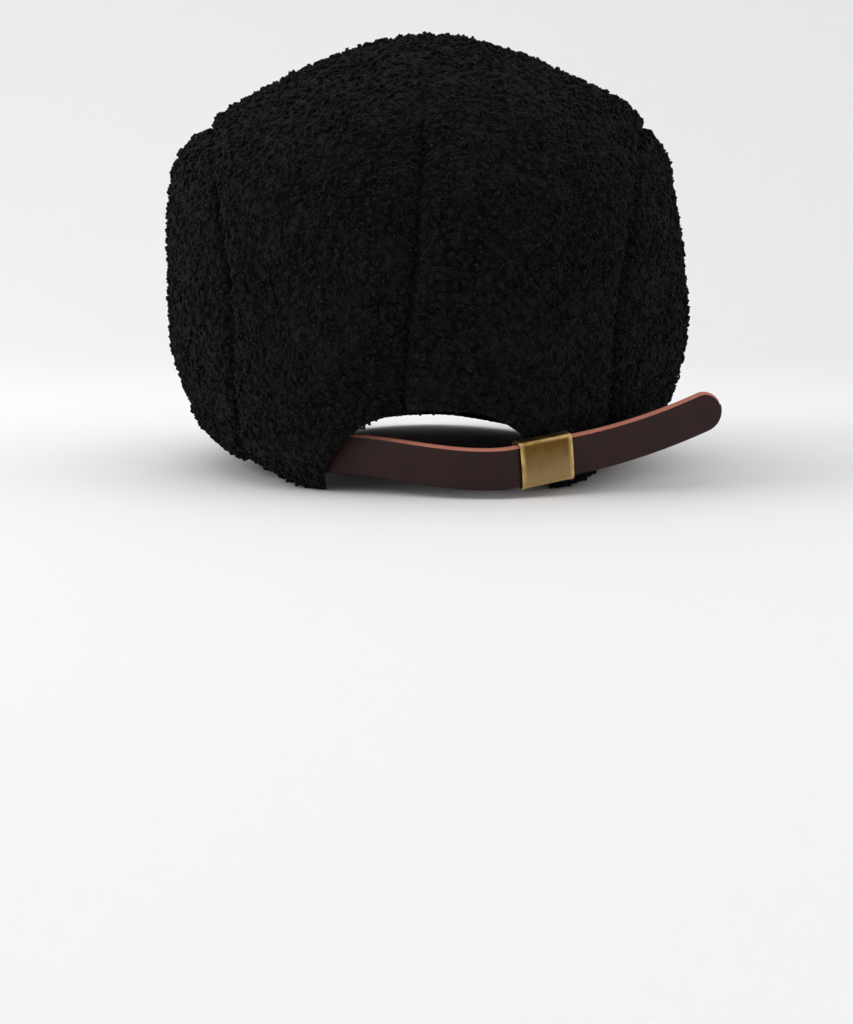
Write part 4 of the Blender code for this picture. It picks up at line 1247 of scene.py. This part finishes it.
Light = namedtuple("Light", "name place aim size power colour")
LIGHTS = (
    Light("soft_box_above", (0.1, 0.1, 1.35), (0.0, 0.0, 0.05), 1.4, 6.0, "#ffffff"),
    Light("soft_box_left", (1.2, 0.3, 0.6), (0.0, 0.0, 0.08), 0.9, 7.5, "#ffffff"),
    Light("soft_box_right", (-1.2, 0.3, 0.6), (0.0, 0.0, 0.08), 0.9, 2.2, "#fff2e2"),
    Light("backdrop_light", (0.5, -0.5, 1.5), (0.2, -1.8, 0.3), 1.2, 3.4, "#ffffff"),
)


def lights():
    """Square soft boxes, each turned so that its own -Z runs from its place to its aim."""
    for row in LIGHTS:
        lamp = bpy.data.lights.new(row.name, "AREA")
        lamp.energy, lamp.size, lamp.color = row.power, row.size, linear(row.colour)[:3]
        holder = bpy.data.objects.new(row.name, lamp)
        holder.location = row.place
        holder.rotation_euler = (Vector(row.aim) - Vector(row.place)).to_track_quat("-Z", "Y").to_euler()
        bpy.context.scene.collection.objects.link(holder)
    world = bpy.data.worlds.new("pale_room")
    world.use_nodes = True
    background = world.node_tree.nodes["Background"]
    background.inputs["Color"].default_value = linear(WORLD_COLOUR)
    background.inputs["Strength"].default_value = WORLD_STRENGTH
    bpy.context.scene.world = world


def camera(stage):
    """Looks towards -Y from behind the cap, pitched down, on a 36 mm sensor's long side."""
    lens = bpy.data.cameras.new("camera")
    lens.lens, lens.clip_start = stage.lens, 0.01
    holder = bpy.data.objects.new("camera", lens)
    holder.location = tuple(stage.camera_place)
    holder.rotation_euler = (math.pi / 2 - stage.pitch, 0.0, math.pi)
    bpy.context.scene.collection.objects.link(holder)
    bpy.context.scene.camera = holder
    bpy.context.scene.view_settings.view_transform = "Standard"


# ---------------------------------------------------------------- operators


class CAP_OT_top_panel(bpy.types.Operator):
    """Builds the crown's middle panel with its curls"""

    bl_idname = "cap.top_panel"
    bl_label = "Top panel"

    def execute(self, context):
        wool = context.scene.cap_wool
        finish = curly_wool(wool)
        curls("top_panel_curls", top_panel(wool, finish), wool, finish, 101)
        return {"FINISHED"}


class CAP_OT_side_panels(bpy.types.Operator):
    """Builds the two side panels with their curls"""

    bl_idname = "cap.side_panels"
    bl_label = "Side panels"

    def execute(self, context):
        wool = context.scene.cap_wool
        finish = bpy.data.materials["curly_boucle_wool"]
        for side, name, seed in ((1, "side_panel_left_curls", 102), (-1, "side_panel_right_curls", 103)):
            curls(name, side_panel(side, wool, finish), wool, finish, seed)
        return {"FINISHED"}


class CAP_OT_peak(bpy.types.Operator):
    """Builds the short peak with its curls"""

    bl_idname = "cap.peak"
    bl_label = "Peak"

    def execute(self, context):
        wool = context.scene.cap_wool
        finish = bpy.data.materials["curly_boucle_wool"]
        curls("peak_curls", peak(wool, finish), wool, finish, 104)
        return {"FINISHED"}


class CAP_OT_leather(bpy.types.Operator):
    """Builds the strap and the slider's tab"""

    bl_idname = "cap.leather"
    bl_label = "Strap and tab"

    def execute(self, context):
        leather = context.scene.cap_leather
        finish = strap_leather(leather)
        leather_strip("strap_leather", STRAP_ROUTE, leather.width, leather.thickness, leather.bevel, True, True,
                      finish, "strap")
        leather_strip("slider_tab_leather", TAB_ROUTE, TAB_WIDTH, TAB_THICKNESS, TAB_THICKNESS / 3, False, False,
                      finish, "slider_tab")
        return {"FINISHED"}


class CAP_OT_slider(bpy.types.Operator):
    """Builds the brass slider"""

    bl_idname = "cap.slider"
    bl_label = "Slider"

    def execute(self, context):
        brass = context.scene.cap_brass
        slider(brass, context.scene.cap_leather, aged_brass(brass))
        return {"FINISHED"}


class CAP_OT_stage(bpy.types.Operator):
    """Sets up the floor, the lights and the camera"""

    bl_idname = "cap.stage"
    bl_label = "Stage"

    def execute(self, context):
        stage = context.scene.cap_stage
        paper_bowl(matt_paper(stage))
        lights()
        camera(stage)
        return {"FINISHED"}


OPERATORS = (
    CAP_OT_top_panel, CAP_OT_side_panels, CAP_OT_peak, CAP_OT_leather, CAP_OT_slider, CAP_OT_stage
)
SETTINGS = {
    "cap_wool": CapWoolSettings,
    "cap_leather": CapLeatherSettings,
    "cap_brass": CapBrassSettings,
    "cap_stage": CapStageSettings,
}


class CAP_PT_pieces(bpy.types.Panel):
    """Lists the pieces of the cap and their settings"""

    bl_idname = "CAP_PT_pieces"
    bl_label = "Hunting cap"
    bl_space_type = "VIEW_3D"
    bl_region_type = "UI"
    bl_category = "Cap"

    def draw(self, context):
        for operator in OPERATORS:
            self.layout.operator(operator.bl_idname)
        for key, group in SETTINGS.items():
            box = self.layout.box()
            for name in group.__annotations__:
                box.prop(getattr(context.scene, key), name)


def register():
    for made in (*SETTINGS.values(), *OPERATORS, CAP_PT_pieces):
        bpy.utils.register_class(made)
    for key, group in SETTINGS.items():
        setattr(bpy.types.Scene, key, bpy.props.PointerProperty(type=group))


def unregister():
    for key in SETTINGS:
        delattr(bpy.types.Scene, key)
    for made in (CAP_PT_pieces, *reversed(OPERATORS), *reversed(SETTINGS.values())):
        bpy.utils.unregister_class(made)


def main():
    register()
    for operator in OPERATORS:
        group, name = operator.bl_idname.split(".")
        getattr(getattr(bpy.ops, group), name)()


if __name__ == "__main__":
    main()
